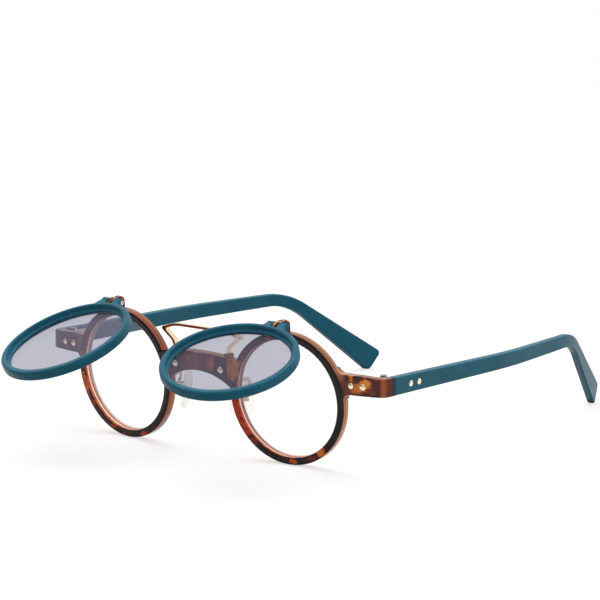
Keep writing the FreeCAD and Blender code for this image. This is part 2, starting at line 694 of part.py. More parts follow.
def temple_plan():
    """Plan outline of a temple: straight, swept in, then hooked in behind the ear."""
    start = JOINT_Y + JOINT_GAP / 2
    end = BEND_Y + CUT_LENGTH
    sweep = math.tan(math.radians(SWEEP_ANGLE))
    hook = math.tan(math.radians(HOOK_ANGLE))
    hook_x = TEMPLE_OUTER_X - (HOOK_Y - SWEEP_Y) * sweep
    end_x = hook_x - (end - HOOK_Y) * hook
    outer = [(TEMPLE_OUTER_X, start, 0), (TEMPLE_OUTER_X, SWEEP_Y, SWEEP_R), (hook_x, HOOK_Y, HOOK_R),
             (end_x, end, 0)]
    tip_across = TIP_T / math.cos(math.radians(HOOK_ANGLE))
    widths = [TEMPLE_T, TEMPLE_T, tip_across, tip_across]
    inner = [(x - w, y, r) for (x, y, r), w in zip(outer, widths)]
    return outer + list(reversed(inner))


def temple():
    """The left temple: side outline and plan outline crossed, its long edges rounded."""
    side = prism(temple_side(), "YZ", 0, TEMPLE_OUTER_X * 2)
    plan = prism(temple_plan(), "XY", -CUT_LENGTH, CUT_LENGTH)
    arm = side.common(plan)
    front = JOINT_Y + JOINT_GAP / 2
    edges = [e for e in arm.Edges if abs(e.CenterOfMass.y - front) > JOINT_GAP and is_long_edge(e)]
    arm = arm.makeFillet(TEMPLE_ROUND, edges)
    seats = [temple_rivet(i, FIT_GAP) for i in range(2)] + [leaf_tongue(FIT_GAP)]
    return arm.cut(Part.makeCompound(seats))


def is_long_edge(edge):
    """True for the edges that run along an arm, not across its thickness."""
    ends = edge.Vertexes
    return abs(ends[0].Point.y - ends[-1].Point.y) > TIP_CORNER_R / 4


# Sun rims


def hinge_rod(radius, low, high):
    """A cylinder on the flip hinge's axis between two distances from its middle, in hinge coordinates."""
    return cylinder(radius, FreeCAD.Vector(low, 0, 0), X_AXIS, high - low)


def sun_lens_disc(grow):
    """The tinted lens, closed, in lens coordinates; grow opens it up to cut the groove."""
    front = -SUN_GAP - SUN_DEPTH + SUN_LENS_SETBACK
    return lens_disc(SUN_INNER_R, front, SUN_LENS_T, grow)


def sun_lens():
    """The left tinted lens, closed."""
    return on_face(sun_lens_disc(0))


def ear():
    """The outer hinge ear of a sun rim in hinge coordinates: a barrel on an arm that flares into the rim."""
    inner = LUG_W / 2 + EAR_GAP
    flare = HINGE_REACH + EAR_FLARE
    foot = SUN_OUTER_R - EAR_ROOT - FLIP_AXIS_R
    arm = [(-EAR_FOOT_FRONT, foot, 0), (EAR_FOOT_BACK, foot, 0), (FLIP_BARREL_R, 0, 0),
           (-FLIP_BARREL_R, 0, 0)]
    shape = prism(arm, "YZ", inner, flare).fuse(hinge_rod(FLIP_BARREL_R, inner, HINGE_REACH))
    face = [(inner, foot, 0), (flare, foot, 0), (flare, foot + EAR_ROOT / 2, 0),
            (HINGE_REACH, -FLIP_HEAD_R - EAR_GAP, 0),
            (HINGE_REACH, FLIP_BARREL_R, FLIP_BARREL_R - FLIP_HEAD_R),
            (inner, FLIP_BARREL_R, 0)]
    return shape.common(prism(face, "XZ", -FLIP_BARREL_R, FLIP_BARREL_R))


def sun_rim():
    """The left sun rim, closed, with its lens groove, ears and a screw hole that ends in the outer ear."""
    front = -SUN_GAP - SUN_DEPTH
    rim = rim_ring(SUN_INNER_R, SUN_WALL, front, SUN_DEPTH, SUN_OUTER_ROUND, SUN_INNER_ROUND)
    rim = on_face(rim.cut(sun_lens_disc(FIT_GAP)))
    shape = rim.multiFuse([on_flip_hinge(e) for e in pair(ear())])
    hole = hinge_rod(FLIP_SCREW_R + RUNNING_GAP, -HINGE_REACH * 2, HINGE_REACH - FLIP_BLIND + RUNNING_GAP)
    return shape.cut(on_flip_hinge(hole)).removeSplitter()


def flip_screw():
    """The left flip hinge's screw, its head on the ear towards the nose."""
    screw = slotted_screw(FLIP_SCREW_R, HINGE_REACH * 2 - FLIP_BLIND, FLIP_HEAD_R, FLIP_HEAD_T)
    screw.rotate(ORIGIN, Y_AXIS, -90)
    screw.translate(X_AXIS * (HINGE_REACH - FLIP_BLIND))
    return on_flip_hinge(screw)


# Nose pads


def on_pad(shape):
    """Turns a piece from pad coordinates (-X towards the nose, +Y back, +Z up) to the left pad."""
    placed = shape.copy()
    placed.rotate(ORIGIN, Y_AXIS, -PAD_LEAN)
    placed.rotate(ORIGIN, Z_AXIS, -PAD_SPLAY)
    placed.translate(FreeCAD.Vector(PAD_X, PAD_BACK, PAD_Z))
    return placed


def pad_axis_x():
    """Distance of the pad screw's axis behind the middle of the pad."""
    return PAD_T / 2 + PAD_BOSS_L - PAD_BOSS_R / 2


def pad_fork_x():
    """Distance of the inside of the fork's back plate behind the middle of the pad."""
    return pad_axis_x() + PAD_BOSS_R + PAD_BACK_GAP


def nose_pad():
    """A drop-shaped pad, domed towards the nose, with a boss for its screw."""
    half_w = PAD_W / 2
    half_h = PAD_H / 2
    half_top = PAD_TOP_W / 2
    outline = [(-half_w, -half_h, PAD_LOWER_R), (half_w, -half_h, PAD_LOWER_R),
               (half_top, half_h, PAD_UPPER_R), (-half_top, half_h, PAD_UPPER_R)]
    body = prism(outline, "YZ", -PAD_T / 2, PAD_T / 2)
    dome = Part.makeSphere(PAD_DOME_R, FreeCAD.Vector(PAD_DOME_R - PAD_T / 2, 0, 0), X_AXIS)
    body = body.common(dome)
    axis_x = pad_axis_x()
    block = Part.makeBox(axis_x, PAD_BOSS_R * 2, PAD_BOSS_H, FreeCAD.Vector(0, -PAD_BOSS_R, -PAD_BOSS_H / 2))
    knob = cylinder(PAD_BOSS_R, FreeCAD.Vector(axis_x, 0, -PAD_BOSS_H / 2), Z_AXIS, PAD_BOSS_H)
    hole = cylinder(PAD_SCREW_R + RUNNING_GAP, FreeCAD.Vector(axis_x, 0, -PAD_H), Z_AXIS, PAD_H * 2)
    return on_pad(body.multiFuse([block, knob]).cut(hole).removeSplitter())


def pad_box():
    """The metal fork that holds the pad's boss: two ears joined by a back plate."""
    axis_x = pad_axis_x()
    half = PAD_BOSS_H / 2 + PAD_GAP
    back = pad_fork_x()
    low = FreeCAD.Vector(axis_x - PAD_BOSS_R / 2, -PAD_BOSS_R, -half - PAD_EAR_T)
    fork = Part.makeBox(back + PAD_EAR_T - low.x, PAD_BOSS_R * 2, 2 * (half + PAD_EAR_T), low)
    room = Part.makeBox(back, PAD_BOSS_R * 4, 2 * half, FreeCAD.Vector(0, -PAD_BOSS_R * 2, -half))
    hole = cylinder(PAD_SCREW_R + RUNNING_GAP, FreeCAD.Vector(axis_x, 0, -PAD_H), Z_AXIS, PAD_H * 2)
    return on_pad(fork.cut(room).cut(hole))


def arm_points():
    """Middle line of a pad arm: out of the rim's back, round a bend and into the fork."""
    root_z = PAD_Z + ARM_ROOT_ABOVE
    root_x = LENS_X - math.sqrt(ARM_ROOT_R ** 2 - (root_z - LENS_Z) ** 2) * math.cos(WRAP)
    rim_back = (root_x - LENS_X) * math.tan(WRAP) + RIM_DEPTH - (root_z - LENS_Z) * math.tan(TILT)
    end = on_pad(Part.Vertex(pad_fork_x() + PAD_EAR_T, 0, 0)).Point
    loop_y = rim_back + ARM_REACH
    return [FreeCAD.Vector(root_x, rim_back - ARM_SINK, root_z), FreeCAD.Vector(root_x, loop_y, root_z),
            FreeCAD.Vector(end.x, loop_y, end.z + ARM_ELBOW), end]


def wire_tube(points, radius, bend):
    """A round wire along points, bent at its corners."""
    path = Part.Wire(rounded_edges(points, [bend] * len(points), False))
    section = Part.Wire(Part.makeCircle(radius, points[0], points[1] - points[0]))
    return path.makePipeShell([section], True, True)


def pad_arm():
    """A bent wire arm with the pad's fork soldered to its end."""
    return wire_tube(arm_points(), ARM_R, ARM_BEND_R).fuse(pad_box()).removeSplitter()


def arm_socket():
    """The hole in a rim's back that an arm's root goes into."""
    root, after = arm_points()[:2]
    return cylinder(ARM_R + FIT_GAP, root, after - root, ARM_REACH)


def pad_screw():
    """The small screw through fork and boss."""
    half = PAD_BOSS_H / 2 + PAD_GAP + PAD_EAR_T
    screw = slotted_screw(PAD_SCREW_R, half * 2, PAD_SCREW_HEAD_R, PAD_SCREW_HEAD_T)
    screw.translate(FreeCAD.Vector(pad_axis_x(), 0, -half))
    return on_pad(screw)


def sided(nodes, name, left):
    """Adds a left-hand piece and its mirrored right-hand copy to the nodes."""
    nodes[name + "_left"] = left
    nodes[name + "_right"] = mirrored(left)


def build():
    """Every separate piece of the glasses by node name, standing on the floor in front coordinates."""
    cutters = [brow_bar(FIT_GAP)] + pair(bridge_stud(FIT_GAP)) + pair(arm_socket())
    for i in range(2):
        cutters += pair(end_rivet(i, FIT_GAP))
    nodes = {"front_frame": front_frame(cutters), "brow_bar": brow_bar()}
    sided(nodes, "bridge_stud", bridge_stud())
    sided(nodes, "clear_lens", on_face(clear_lens()))
    sided(nodes, "front_hinge_leaf", front_leaf())
    sided(nodes, "temple_hinge_leaf", temple_leaf())
    sided(nodes, "temple_hinge_screw", hinge_screw())
    sided(nodes, "temple", temple())
    for i in range(2):
        sided(nodes, "endpiece_rivet_%d" % (i + 1), end_rivet(i))
        sided(nodes, "temple_rivet_%d" % (i + 1), temple_rivet(i))
    sided(nodes, "pad_arm", pad_arm())
    sided(nodes, "nose_pad", nose_pad())
    sided(nodes, "pad_screw", pad_screw())
    for name, piece in (("sun_rim", sun_rim()), ("sun_lens", sun_lens()), ("flip_screw", flip_screw())):
        nodes[name + "_left"] = raised(piece, LEFT_RAISE_ANGLE)
        nodes[name + "_right"] = mirrored(raised(piece, RIGHT_RAISE_ANGLE))
    return nodes


def centred(nodes):
    """Moves every piece along Y so that the origin is at the middle of the footprint."""
    boxes = [shape.optimalBoundingBox(False, False) for shape in nodes.values()]
    middle = (min(b.YMin for b in boxes) + max(b.YMax for b in boxes)) / 2
    for shape in nodes.values():
        shape.translate(FreeCAD.Vector(0, -middle, 0))
    return middle


def main():
    os.makedirs("parts", exist_ok=True)
    nodes = build()
    centred(nodes)
    for name, shape in nodes.items():
        shape.exportStep("parts/" + name + ".step")


main()
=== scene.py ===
"""Looks of the flip-up sunglasses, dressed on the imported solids.

The front is laminated tortoise acetate, the temples and sun rims are satin teal acetate, the trim is gold
plate, and the nose pads are clear silicone. Every object is in metres, in the frame of the solids.
"""

import logging
import math
from dataclasses import dataclass, field
from enum import Enum
from typing import Any, ClassVar, Mapping, Optional, Sequence, Union

import bmesh
import bpy
from mathutils import Matrix, Vector


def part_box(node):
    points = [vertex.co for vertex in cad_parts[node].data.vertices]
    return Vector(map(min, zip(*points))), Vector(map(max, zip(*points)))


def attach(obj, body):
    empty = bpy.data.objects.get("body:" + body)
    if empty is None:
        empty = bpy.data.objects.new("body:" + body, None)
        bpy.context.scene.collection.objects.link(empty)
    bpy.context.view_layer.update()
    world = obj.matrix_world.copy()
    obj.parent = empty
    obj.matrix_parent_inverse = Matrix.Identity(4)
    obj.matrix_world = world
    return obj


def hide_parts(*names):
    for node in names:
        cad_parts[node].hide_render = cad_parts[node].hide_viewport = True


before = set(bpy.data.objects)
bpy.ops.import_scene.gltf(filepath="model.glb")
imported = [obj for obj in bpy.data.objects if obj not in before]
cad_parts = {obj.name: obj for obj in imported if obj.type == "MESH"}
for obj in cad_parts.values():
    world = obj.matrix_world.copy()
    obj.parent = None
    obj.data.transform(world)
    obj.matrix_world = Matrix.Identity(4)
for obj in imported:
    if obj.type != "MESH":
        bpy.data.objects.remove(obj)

LOG = logging.getLogger("sunglasses")
MM = 0.001
QUARTER_TURN = 90

Number = Union[int, float]
Colour = tuple[float, float, float]
Span = tuple[float, float]
Layers = tuple[tuple[float, Colour], ...]
Profile = tuple[tuple[float, float], ...]

WHITE: Colour = (1.0, 1.0, 1.0)


def rgb(red: Number, green: Number, blue: Number) -> Colour:
    """Turns a display colour into the linear colour that shaders use, by the standard display curve.

    Args:
        red: Red from 0 to 255.
        green: Green from 0 to 255.
        blue: Blue from 0 to 255.

    Returns:
        The linear red, green and blue.
    """
    def linear(value: Number) -> float:
        """One channel, from display to linear."""
        share = value / 255
        return share / 12.92 if share <= 0.04045 else ((share + 0.055) / 1.055) ** 2.4
    return linear(red), linear(green), linear(blue)


class Side(Enum):
    """The wearer's side that a piece is on, with its sign along X."""

    LEFT = 1
    RIGHT = -1

    def node(self, name: str) -> str:
        """The node or body name of a piece on this side."""
        return f"{name}_{self.name.lower()}"


# Shader graph


class Wire:
    """A socket of a shader graph, on which Python's operators add Math nodes."""

    def __init__(self, graph: "Graph", socket: Optional[bpy.types.NodeSocket]) -> None:
        """Keeps the graph and one of its output sockets, or none for a node without outputs."""
        self.graph = graph
        self.socket = socket

    def math(self, operation: str, *others: Union["Wire", Number]) -> "Wire":
        """Adds a Math node whose first value is this wire."""
        values = dict(enumerate((self, *others)))
        return self.graph.node("ShaderNodeMath", {"operation": operation}, values)

    def __add__(self, other: Union["Wire", Number]) -> "Wire":
        """This value and another added."""
        return self.math("ADD", other)

    __radd__ = __add__

    def __mul__(self, other: Union["Wire", Number]) -> "Wire":
        """This value times another."""
        return self.math("MULTIPLY", other)

    __rmul__ = __mul__

    def __sub__(self, other: Union["Wire", Number]) -> "Wire":
        """This value less another."""
        return self.math("SUBTRACT", other)

    def __rsub__(self, other: Number) -> "Wire":
        """A number less this value."""
        return self.graph.node("ShaderNodeMath", {"operation": "SUBTRACT"}, {0: other, 1: self})

    def __truediv__(self, other: Union["Wire", Number]) -> "Wire":
        """This value over another."""
        return self.math("DIVIDE", other)

    def __abs__(self) -> "Wire":
        """This value without its sign."""
        return self.math("ABSOLUTE")

    def __pow__(self, power: Number) -> "Wire":
        """This value raised to a power."""
        return self.math("POWER", power)

    def at_most(self, other: Union["Wire", Number]) -> "Wire":
        """The smaller of this value and another."""
        return self.math("MINIMUM", other)

    def at_least(self, other: Union["Wire", Number]) -> "Wire":
        """The larger of this value and another."""
        return self.math("MAXIMUM", other)

    def reach(self, other: "Wire") -> "Wire":
        """The length of a line with this value and another as its two parts."""
        return (self * self + other * other) ** 0.5

    def step(self, low: Number, high: Number) -> "Wire":
        """A smooth step of this value.

        Args:
            low: Where the step starts, at 0.
            high: Where it ends, at 1. It may lie below low.

        Returns:
            The stepped value.
        """
        sockets = {"Value": self, "From Min": min(low, high), "From Max": max(low, high)}
        rise = self.graph.node("ShaderNodeMapRange", {"interpolation_type": "SMOOTHSTEP"}, sockets)
        return rise if low < high else 1 - rise


SocketValue = Union[Wire, Number, Sequence[float]]


@dataclass(frozen=True)
class Lumps:
    """Soft noise: the size of one lump in millimetres, octaves of finer noise, and how far it twists."""

    size: float
    detail: float = 2.0
    twist: float = 0.0


@dataclass(frozen=True)
class Relief:
    """Fine bumps: their lumps, their depth in millimetres, and how far the shading follows them."""

    lumps: Lumps
    depth: float
    strength: float


class Graph:
    """The nodes of one material or world.

    mix_inputs and mix_result are the numbers of a Mix node's sockets for its share, its two colours and
    the mixed colour.
    """

    mix_inputs: ClassVar[tuple[int, int, int]] = (0, 6, 7)
    mix_result: ClassVar[int] = 2

    def __init__(self, tree: bpy.types.NodeTree) -> None:
        """Starts from an empty node tree."""
        self.tree = tree
        self.tree.nodes.clear()

    def node(self, kind: str, settings: Optional[Mapping[str, Any]] = None,
             sockets: Optional[Mapping[Union[str, int], SocketValue]] = None,
             output: Union[str, int] = 0) -> Wire:
        """Adds any node.

        Args:
            kind: The node's type.
            settings: Its settings, which are set first; "stops" holds a ramp's positions and colours.
            sockets: Values or wires by socket name or number.
            output: The output that the wire stands for.

        Returns:
            A wire from that output.
        """
        made = self.tree.nodes.new(kind)
        for name, value in (settings or {}).items():
            if name == "stops":
                self._set_stops(made.color_ramp, value)
            else:
                setattr(made, name, value)
        for key, value in (sockets or {}).items():
            target = made.inputs[key]
            if isinstance(value, Wire):
                self.tree.links.new(value.socket, target)
            elif target.type == "RGBA" and len(value) == 3:
                target.default_value = (*value, 1.0)
            else:
                target.default_value = value
        return Wire(self, made.outputs[output] if made.outputs else None)

    @staticmethod
    def _set_stops(ramp: bpy.types.ColorRamp, stops: Sequence[tuple[float, Colour]]) -> None:
        """Sets a ramp's positions and colours.

        Args:
            ramp: The ramp, as a new node has it.
            stops: Positions from 0 to 1 and their colours.
        """
        while len(ramp.elements) < len(stops):
            ramp.elements.new(1.0)
        for element, (place, colour) in zip(ramp.elements, stops):
            element.position = place
            element.color = (*colour, 1.0)

    def millimetres(self) -> Wire:
        """The point on the surface in millimetres, in the frame of the solids."""
        place = self.node("ShaderNodeTexCoord", output="Object")
        return self.node("ShaderNodeVectorMath", {"operation": "SCALE"}, {0: place, "Scale": 1 / MM})

    def axes(self, vector: Wire) -> tuple[Wire, Wire, Wire]:
        """The three parts of a vector."""
        split = self.node("ShaderNodeSeparateXYZ", None, {0: vector}).socket.node
        return tuple(Wire(self, socket) for socket in split.outputs)

    def rays(self, *kinds: str) -> list[Wire]:
        """For each kind of ray, 1 where the ray is of that kind and 0 elsewhere."""
        path = self.node("ShaderNodeLightPath").socket.node
        return [Wire(self, path.outputs[kind]) for kind in kinds]

    def noise(self, place: Wire, lumps: Lumps) -> Wire:
        """Soft noise at a point in millimetres, with values about 0.5."""
        sockets = {"Vector": place, "Scale": 1 / lumps.size,
                   "Detail": lumps.detail, "Distortion": lumps.twist}
        return self.node("ShaderNodeTexNoise", None, sockets, "Fac")

    def wander(self, place: Wire, lumps: Lumps) -> Wire:
        """Soft noise at a point in millimetres, with values about 0."""
        return self.noise(place, lumps) - 0.5

    def ramp(self, value: Wire, stops: Sequence[tuple[float, Colour]]) -> Wire:
        """A colour for each value."""
        return self.node("ShaderNodeValToRGB", {"stops": stops}, {0: value})

    def layers(self, depth: Wire, layers: Layers) -> Wire:
        """The colour at a depth, from layers that run from the front, all in millimetres."""
        reach = layers[-1][0]
        return self.ramp(depth / reach, [(place / reach, colour) for place, colour in layers])

    def mix(self, share: SocketValue, first: SocketValue, second: SocketValue) -> Wire:
        """Two colours mixed."""
        sockets = dict(zip(self.mix_inputs, (share, first, second)))
        return self.node("ShaderNodeMix", {"data_type": "RGBA"}, sockets, self.mix_result)

    def bump(self, height: Wire, relief: Relief) -> Wire:
        """A normal that follows a height, which goes from 0 to 1 over the relief's depth."""
        sockets = {"Height": height, "Distance": relief.depth * MM, "Strength": relief.strength}
        return self.node("ShaderNodeBump", None, sockets)

    def principled(self, sockets: Mapping[str, SocketValue]) -> Wire:
        """The general shader with these sockets set."""
        return self.node("ShaderNodeBsdfPrincipled", None, sockets)

    def blend(self, share: SocketValue, first: Wire, second: Wire) -> Wire:
        """Two shaders mixed."""
        return self.node("ShaderNodeMixShader", None, {0: share, 1: first, 2: second})


# Finishes


class Finish:
    """What all finishes share: each makes one material and keeps it."""

    made: ClassVar[dict["Finish", bpy.types.Material]] = {}

    def surface(self, graph: Graph) -> Wire:
        """Adds the finish's nodes and returns its shader."""
        raise NotImplementedError

    def material(self) -> bpy.types.Material:
        """The finish's material, made the first time it is asked for.

        Returns:
            The material.
        """
        if self not in self.made:
            material = bpy.data.materials.new(type(self).__name__.lower())
            material.use_nodes = True
            graph = Graph(material.node_tree)
            graph.node("ShaderNodeOutputMaterial", None, {"Surface": self.surface(graph)})
            self.made[self] = material
        return self.made[self]


@dataclass(frozen=True)
class FacePlane:
    """The front plane of the left rim, mirrored for the right one, in millimetres and degrees."""

    x: float
    y: float
    z: float
    tilt: float = 5.0
    wrap: float = 5.4

    @classmethod
    def before_lens(cls, node: str, depth: float) -> "FacePlane":
        """The plane in front of a lens.

        Args:
            node: The left lens's node.
            depth: How far the lens's middle lies behind the plane.

        Returns:
            The plane.
        """
        low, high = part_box(node)
        middle = (Vector(low) + Vector(high)) / (2 * MM)
        return cls(*(middle - depth * cls(*middle).inward()))

    def inward(self) -> Vector:
        """The direction from the front plane back into the rim."""
        tilt, wrap = math.radians(self.tilt), math.radians(self.wrap)
        return Vector((-math.sin(wrap) * math.cos(tilt), math.cos(wrap) * math.cos(tilt), math.sin(tilt)))

    def depth(self, graph: Graph, place: Wire) -> Wire:
        """Distance behind the front plane of the nearer rim.

        Args:
            graph: The graph to add to.
            place: The point, in millimetres.

        Returns:
            The distance in millimetres.
        """
        x, y, z = graph.axes(place)
        inward = self.inward()
        return (abs(x) - self.x) * inward.x + (y - self.y) * inward.y + (z - self.z) * inward.z

    def radius(self, graph: Graph, place: Wire) -> Wire:
        """Distance from the nearer lens's middle as seen from the front.

        Args:
            graph: The graph to add to.
            place: The point, in millimetres.

        Returns:
            The distance in millimetres.
        """
        x, _, z = graph.axes(place)
        across = (abs(x) - self.x) / math.cos(math.radians(self.wrap))
        up = (z - self.z) / math.cos(math.radians(self.tilt))
        return across.reach(up)


# How far the middle of a clear lens lies behind the front plane, in millimetres
CLEAR_LENS_DEPTH = 1.8
FACE = FacePlane.before_lens("clear_lens_left", CLEAR_LENS_DEPTH)


@dataclass(frozen=True)
class Patch:
    """A single cloud in the tortoise.

    Its place and size are in millimetres, level is how pale it is, and tall is its height for its width.
    """

    x: float
    z: float
    size: float
    level: float
    tall: float = 1.0


@dataclass(frozen=True)
class Tortoise(Finish):
    """Polished tortoise acetate: a dark mottled sheet in front, laminated on layers of amber and rose.

    A mottle holds the colours of soft noise from dark to pale, and layers hold colours by depth. A fade is
    where one colour starts and ends to give way to the next. Places and depths are in millimetres.
    """

    face: FacePlane = FACE
    night: Colour = rgb(27, 13, 11)
    bark: Colour = rgb(66, 27, 17)
    rust: Colour = rgb(150, 54, 22)
    amber: Colour = rgb(214, 118, 42)
    honey: Colour = rgb(246, 182, 92)
    maroon: Colour = rgb(78, 30, 22)
    russet: Colour = rgb(142, 64, 32)
    flame: Colour = rgb(206, 92, 42)
    ember: Colour = rgb(214, 60, 16)
    blaze: Colour = rgb(244, 138, 46)
    lip: Colour = rgb(228, 204, 194)
    rose: Colour = rgb(192, 90, 56)

    # The front sheet and its clouds
    sheet_fade: Span = (0.13, 0.48)
    sheet_lumps: Lumps = Lumps(7.0, 3.0, 0.8)
    sheet_mottle: Layers = ((0.57, night), (0.63, bark), (0.7, ember), (0.79, blaze), (0.93, honey))
    front_clouds: tuple[Patch, ...] = (
        Patch(50.0, 30.0, 12.0, 0.46), Patch(45.0, 39.0, 6.0, 0.48), Patch(20.0, 39.0, 7.0, 0.5),
        Patch(9.0, 27.6, 2.6, 0.5), Patch(45.8, 5.6, 2.8, 0.84, 0.8), Patch(35.3, 1.2, 2.8, 0.78, 0.6),
        Patch(15.4, 15.4, 4.6, 0.73, 2.0), Patch(18.0, 9.2, 4.2, 0.73), Patch(21.2, 5.4, 3.0, 0.7),
        Patch(-26.0, 1.8, 2.6, 0.75, 0.8), Patch(-53.2, 14.4, 4.0, 0.8, 1.8), Patch(-49.6, 8.8, 2.4, 0.71),
        Patch(-3.2, 30.4, 2.8, 0.8), Patch(3.9, 29.6, 4.2, 0.86, 0.6), Patch(14.6, 28.2, 4.0, 0.87, 1.5))
    hold: float = 0.85
    core: float = 0.35
    ragged: float = 1.1
    ragged_lumps: Lumps = Lumps(1.5)

    # The layered wall behind the sheet, redder on the wearer's right. Its pale pink and peach bands are
    # partly the laminate's layers and partly painted highlights, and above the lens's middle it is darker
    # with painted shade
    wall_layers: Layers = (
        (0.15, rgb(34, 14, 13)), (0.35, rgb(80, 34, 28)), (0.55, rgb(166, 98, 76)),
        (0.8, rgb(234, 160, 122)), (1.25, rgb(194, 102, 52)), (1.75, rgb(226, 136, 74)),
        (2.2, rgb(255, 204, 152)), (2.6, rgb(226, 170, 122)), (3.1, rgb(186, 140, 104)))
    drift: float = 0.4
    drift_lumps: Lumps = Lumps(5.0, 2.0, 0.4)
    rose_share: float = 0.5
    rose_lumps: Lumps = Lumps(9.0, 1.0)
    rose_fade: Span = (0.5, 0.7)
    rose_side_fade: Span = (8.0, -8.0)
    upper_rise: float = 14.0
    upper_shade: float = 0.6

    # The endpieces and the layers that show at their temple joints
    end_fade: Span = (54.6, 56.6)
    end_lumps: Lumps = Lumps(4.0, 3.0, 0.8)
    end_mottle: Layers = ((0.24, night), (0.38, maroon), (0.53, russet), (0.66, blaze), (0.8, honey))
    end_clouds: tuple[Patch, ...] = (
        Patch(-61.0, 27.6, 16.0, 0.27), Patch(56.4, 26.4, 2.4, 0.5), Patch(61.0, 24.2, 2.8, 0.36),
        Patch(66.8, 28.2, 3.4, 0.36, 1.4), Patch(60.2, 27.2, 2.6, 0.64), Patch(62.6, 28.4, 2.8, 0.75),
        Patch(58.1, 30.3, 1.5, 0.66), Patch(56.0, 30.0, 1.9, 0.34), Patch(60.1, 30.4, 1.8, 0.32))
    joint_fade: Span = (67.6, 68.4)
    joint_layers: Layers = (
        (3.6, rgb(70, 30, 20)), (4.3, rgb(176, 92, 46)), (5.4, rgb(168, 84, 42)),
        (6.2, rgb(112, 40, 22)), (7.6, rgb(78, 28, 18)), (9.0, rgb(30, 14, 12)))
    joint_drift: float = 3.0

    # The lining round a lens, by radius and depth, with a pale lip behind it
    lining_fade: Span = (19.15, 18.95)
    lining_start: Span = (0.1, 0.45)
    lining_lumps: Lumps = Lumps(3.0, 2.0, 0.6)
    lining_mottle: Layers = ((0.34, rust), (0.5, flame), (0.64, amber), (0.78, honey))
    lip_fade: Span = (2.25, 2.55)

    # The speckled hinge lugs, and the polish all over
    lug_fade: Span = (42.9, 43.4)
    lug_lumps: Lumps = Lumps(1.4, 2.0, 0.5)
    lug_mottle: Layers = ((0.43, night), (0.51, maroon), (0.58, blaze), (0.65, honey), (0.73, lip))
    roughness: float = 0.09
    wear: float = 0.06
    wear_lumps: Lumps = Lumps(0.6)
    waves: Relief = Relief(Lumps(2.2, 1.0), depth=0.04, strength=0.25)

    def surface(self, graph: Graph) -> Wire:
        """Adds the layers and their polish.

        Args:
            graph: The graph to add to.

        Returns:
            The shader.
        """
        place = graph.millimetres()
        x, _, z = graph.axes(place)
        depth = self.face.depth(graph, place)
        drift = graph.wander(place, self.drift_lumps) * self.drift
        clouds = self._clouds(graph, place, self.sheet_lumps, self.front_clouds)
        sheet = graph.ramp(clouds, self.sheet_mottle)
        wall = self._wall(graph, place, depth + drift)
        rim = graph.mix(depth.step(*self.sheet_fade), sheet, wall)
        colour = graph.mix(abs(x).step(*self.end_fade), rim, self._end(graph, place, drift))
        inner = self.face.radius(graph, place).step(*self.lining_fade) * depth.step(*self.lining_start)
        colour = graph.mix(inner, colour, self._lining(graph, place, depth))
        lug = graph.ramp(graph.noise(place, self.lug_lumps), self.lug_mottle)
        colour = graph.mix(z.step(*self.lug_fade), colour, lug)
        return graph.principled({
            "Base Color": colour, "IOR": 1.45, "Specular IOR Level": 0.25,
            "Roughness": self.roughness + graph.noise(place, self.wear_lumps) * self.wear,
            "Subsurface Weight": 0.08, "Subsurface Radius": (1.0, 0.35, 0.12),
            "Subsurface Scale": 0.8 * MM,
            "Normal": graph.bump(graph.noise(place, self.waves.lumps), self.waves),
        })

    def _clouds(self, graph: Graph, place: Wire, lumps: Lumps, patches: Sequence[Patch]) -> Wire:
        """Noise with single clouds where the sheet has them.

        Args:
            graph: The graph to add to.
            place: The point, in millimetres.
            lumps: The noise.
            patches: The single clouds.

        Returns:
            A value that is larger where the sheet is paler.
        """
        x, _, z = graph.axes(place)
        ragged = graph.wander(place, self.ragged_lumps)
        value = graph.noise(place, lumps)
        for patch in patches:
            across, up = x - patch.x, (z - patch.z) / patch.tall
            far = across.reach(up) + ragged * (patch.size * self.ragged)
            inside = far.step(patch.size, patch.size * self.core)
            value = value + (patch.level - value) * inside * self.hold
        return value

    def _wall(self, graph: Graph, place: Wire, depth: Wire) -> Wire:
        """The wall of the rims, with painted highlights in its layers and painted shade above the lens's
        middle.

        Args:
            graph: The graph to add to.
            place: The point, in millimetres.
            depth: Its depth behind the front plane, with the drift of the layers.

        Returns:
            The colour.
        """
        x, _, z = graph.axes(place)
        redder = graph.noise(place, self.rose_lumps).step(*self.rose_fade)
        redder = redder.at_least(x.step(*self.rose_side_fade)) * self.rose_share
        wall = graph.mix(redder, graph.layers(depth, self.wall_layers), self.rose)
        # Painted shade: the wall darkens towards night above the lens's middle
        upper = z.step(self.face.z, self.face.z + self.upper_rise)
        return graph.mix(upper * self.upper_shade, wall, self.night)

    def _end(self, graph: Graph, place: Wire, drift: Wire) -> Wire:
        """The endpieces, with bare layers at their temple joints.

        Args:
            graph: The graph to add to.
            place: The point, in millimetres.
            drift: How far the layers drift there, in millimetres.

        Returns:
            The colour.
        """
        x, y, _ = graph.axes(place)
        clouds = self._clouds(graph, place, self.end_lumps, self.end_clouds)
        end = graph.ramp(clouds, self.end_mottle)
        joint = graph.layers(y - self.face.y + drift * self.joint_drift, self.joint_layers)
        return graph.mix(abs(x).step(*self.joint_fade), end, joint)

    def _lining(self, graph: Graph, place: Wire, depth: Wire) -> Wire:
        """The colour of the glowing lining round a lens, and of the lip behind the lens."""
        glow = graph.ramp(graph.noise(place, self.lining_lumps), self.lining_mottle)
        return graph.mix(depth.step(*self.lip_fade), glow, self.lip)


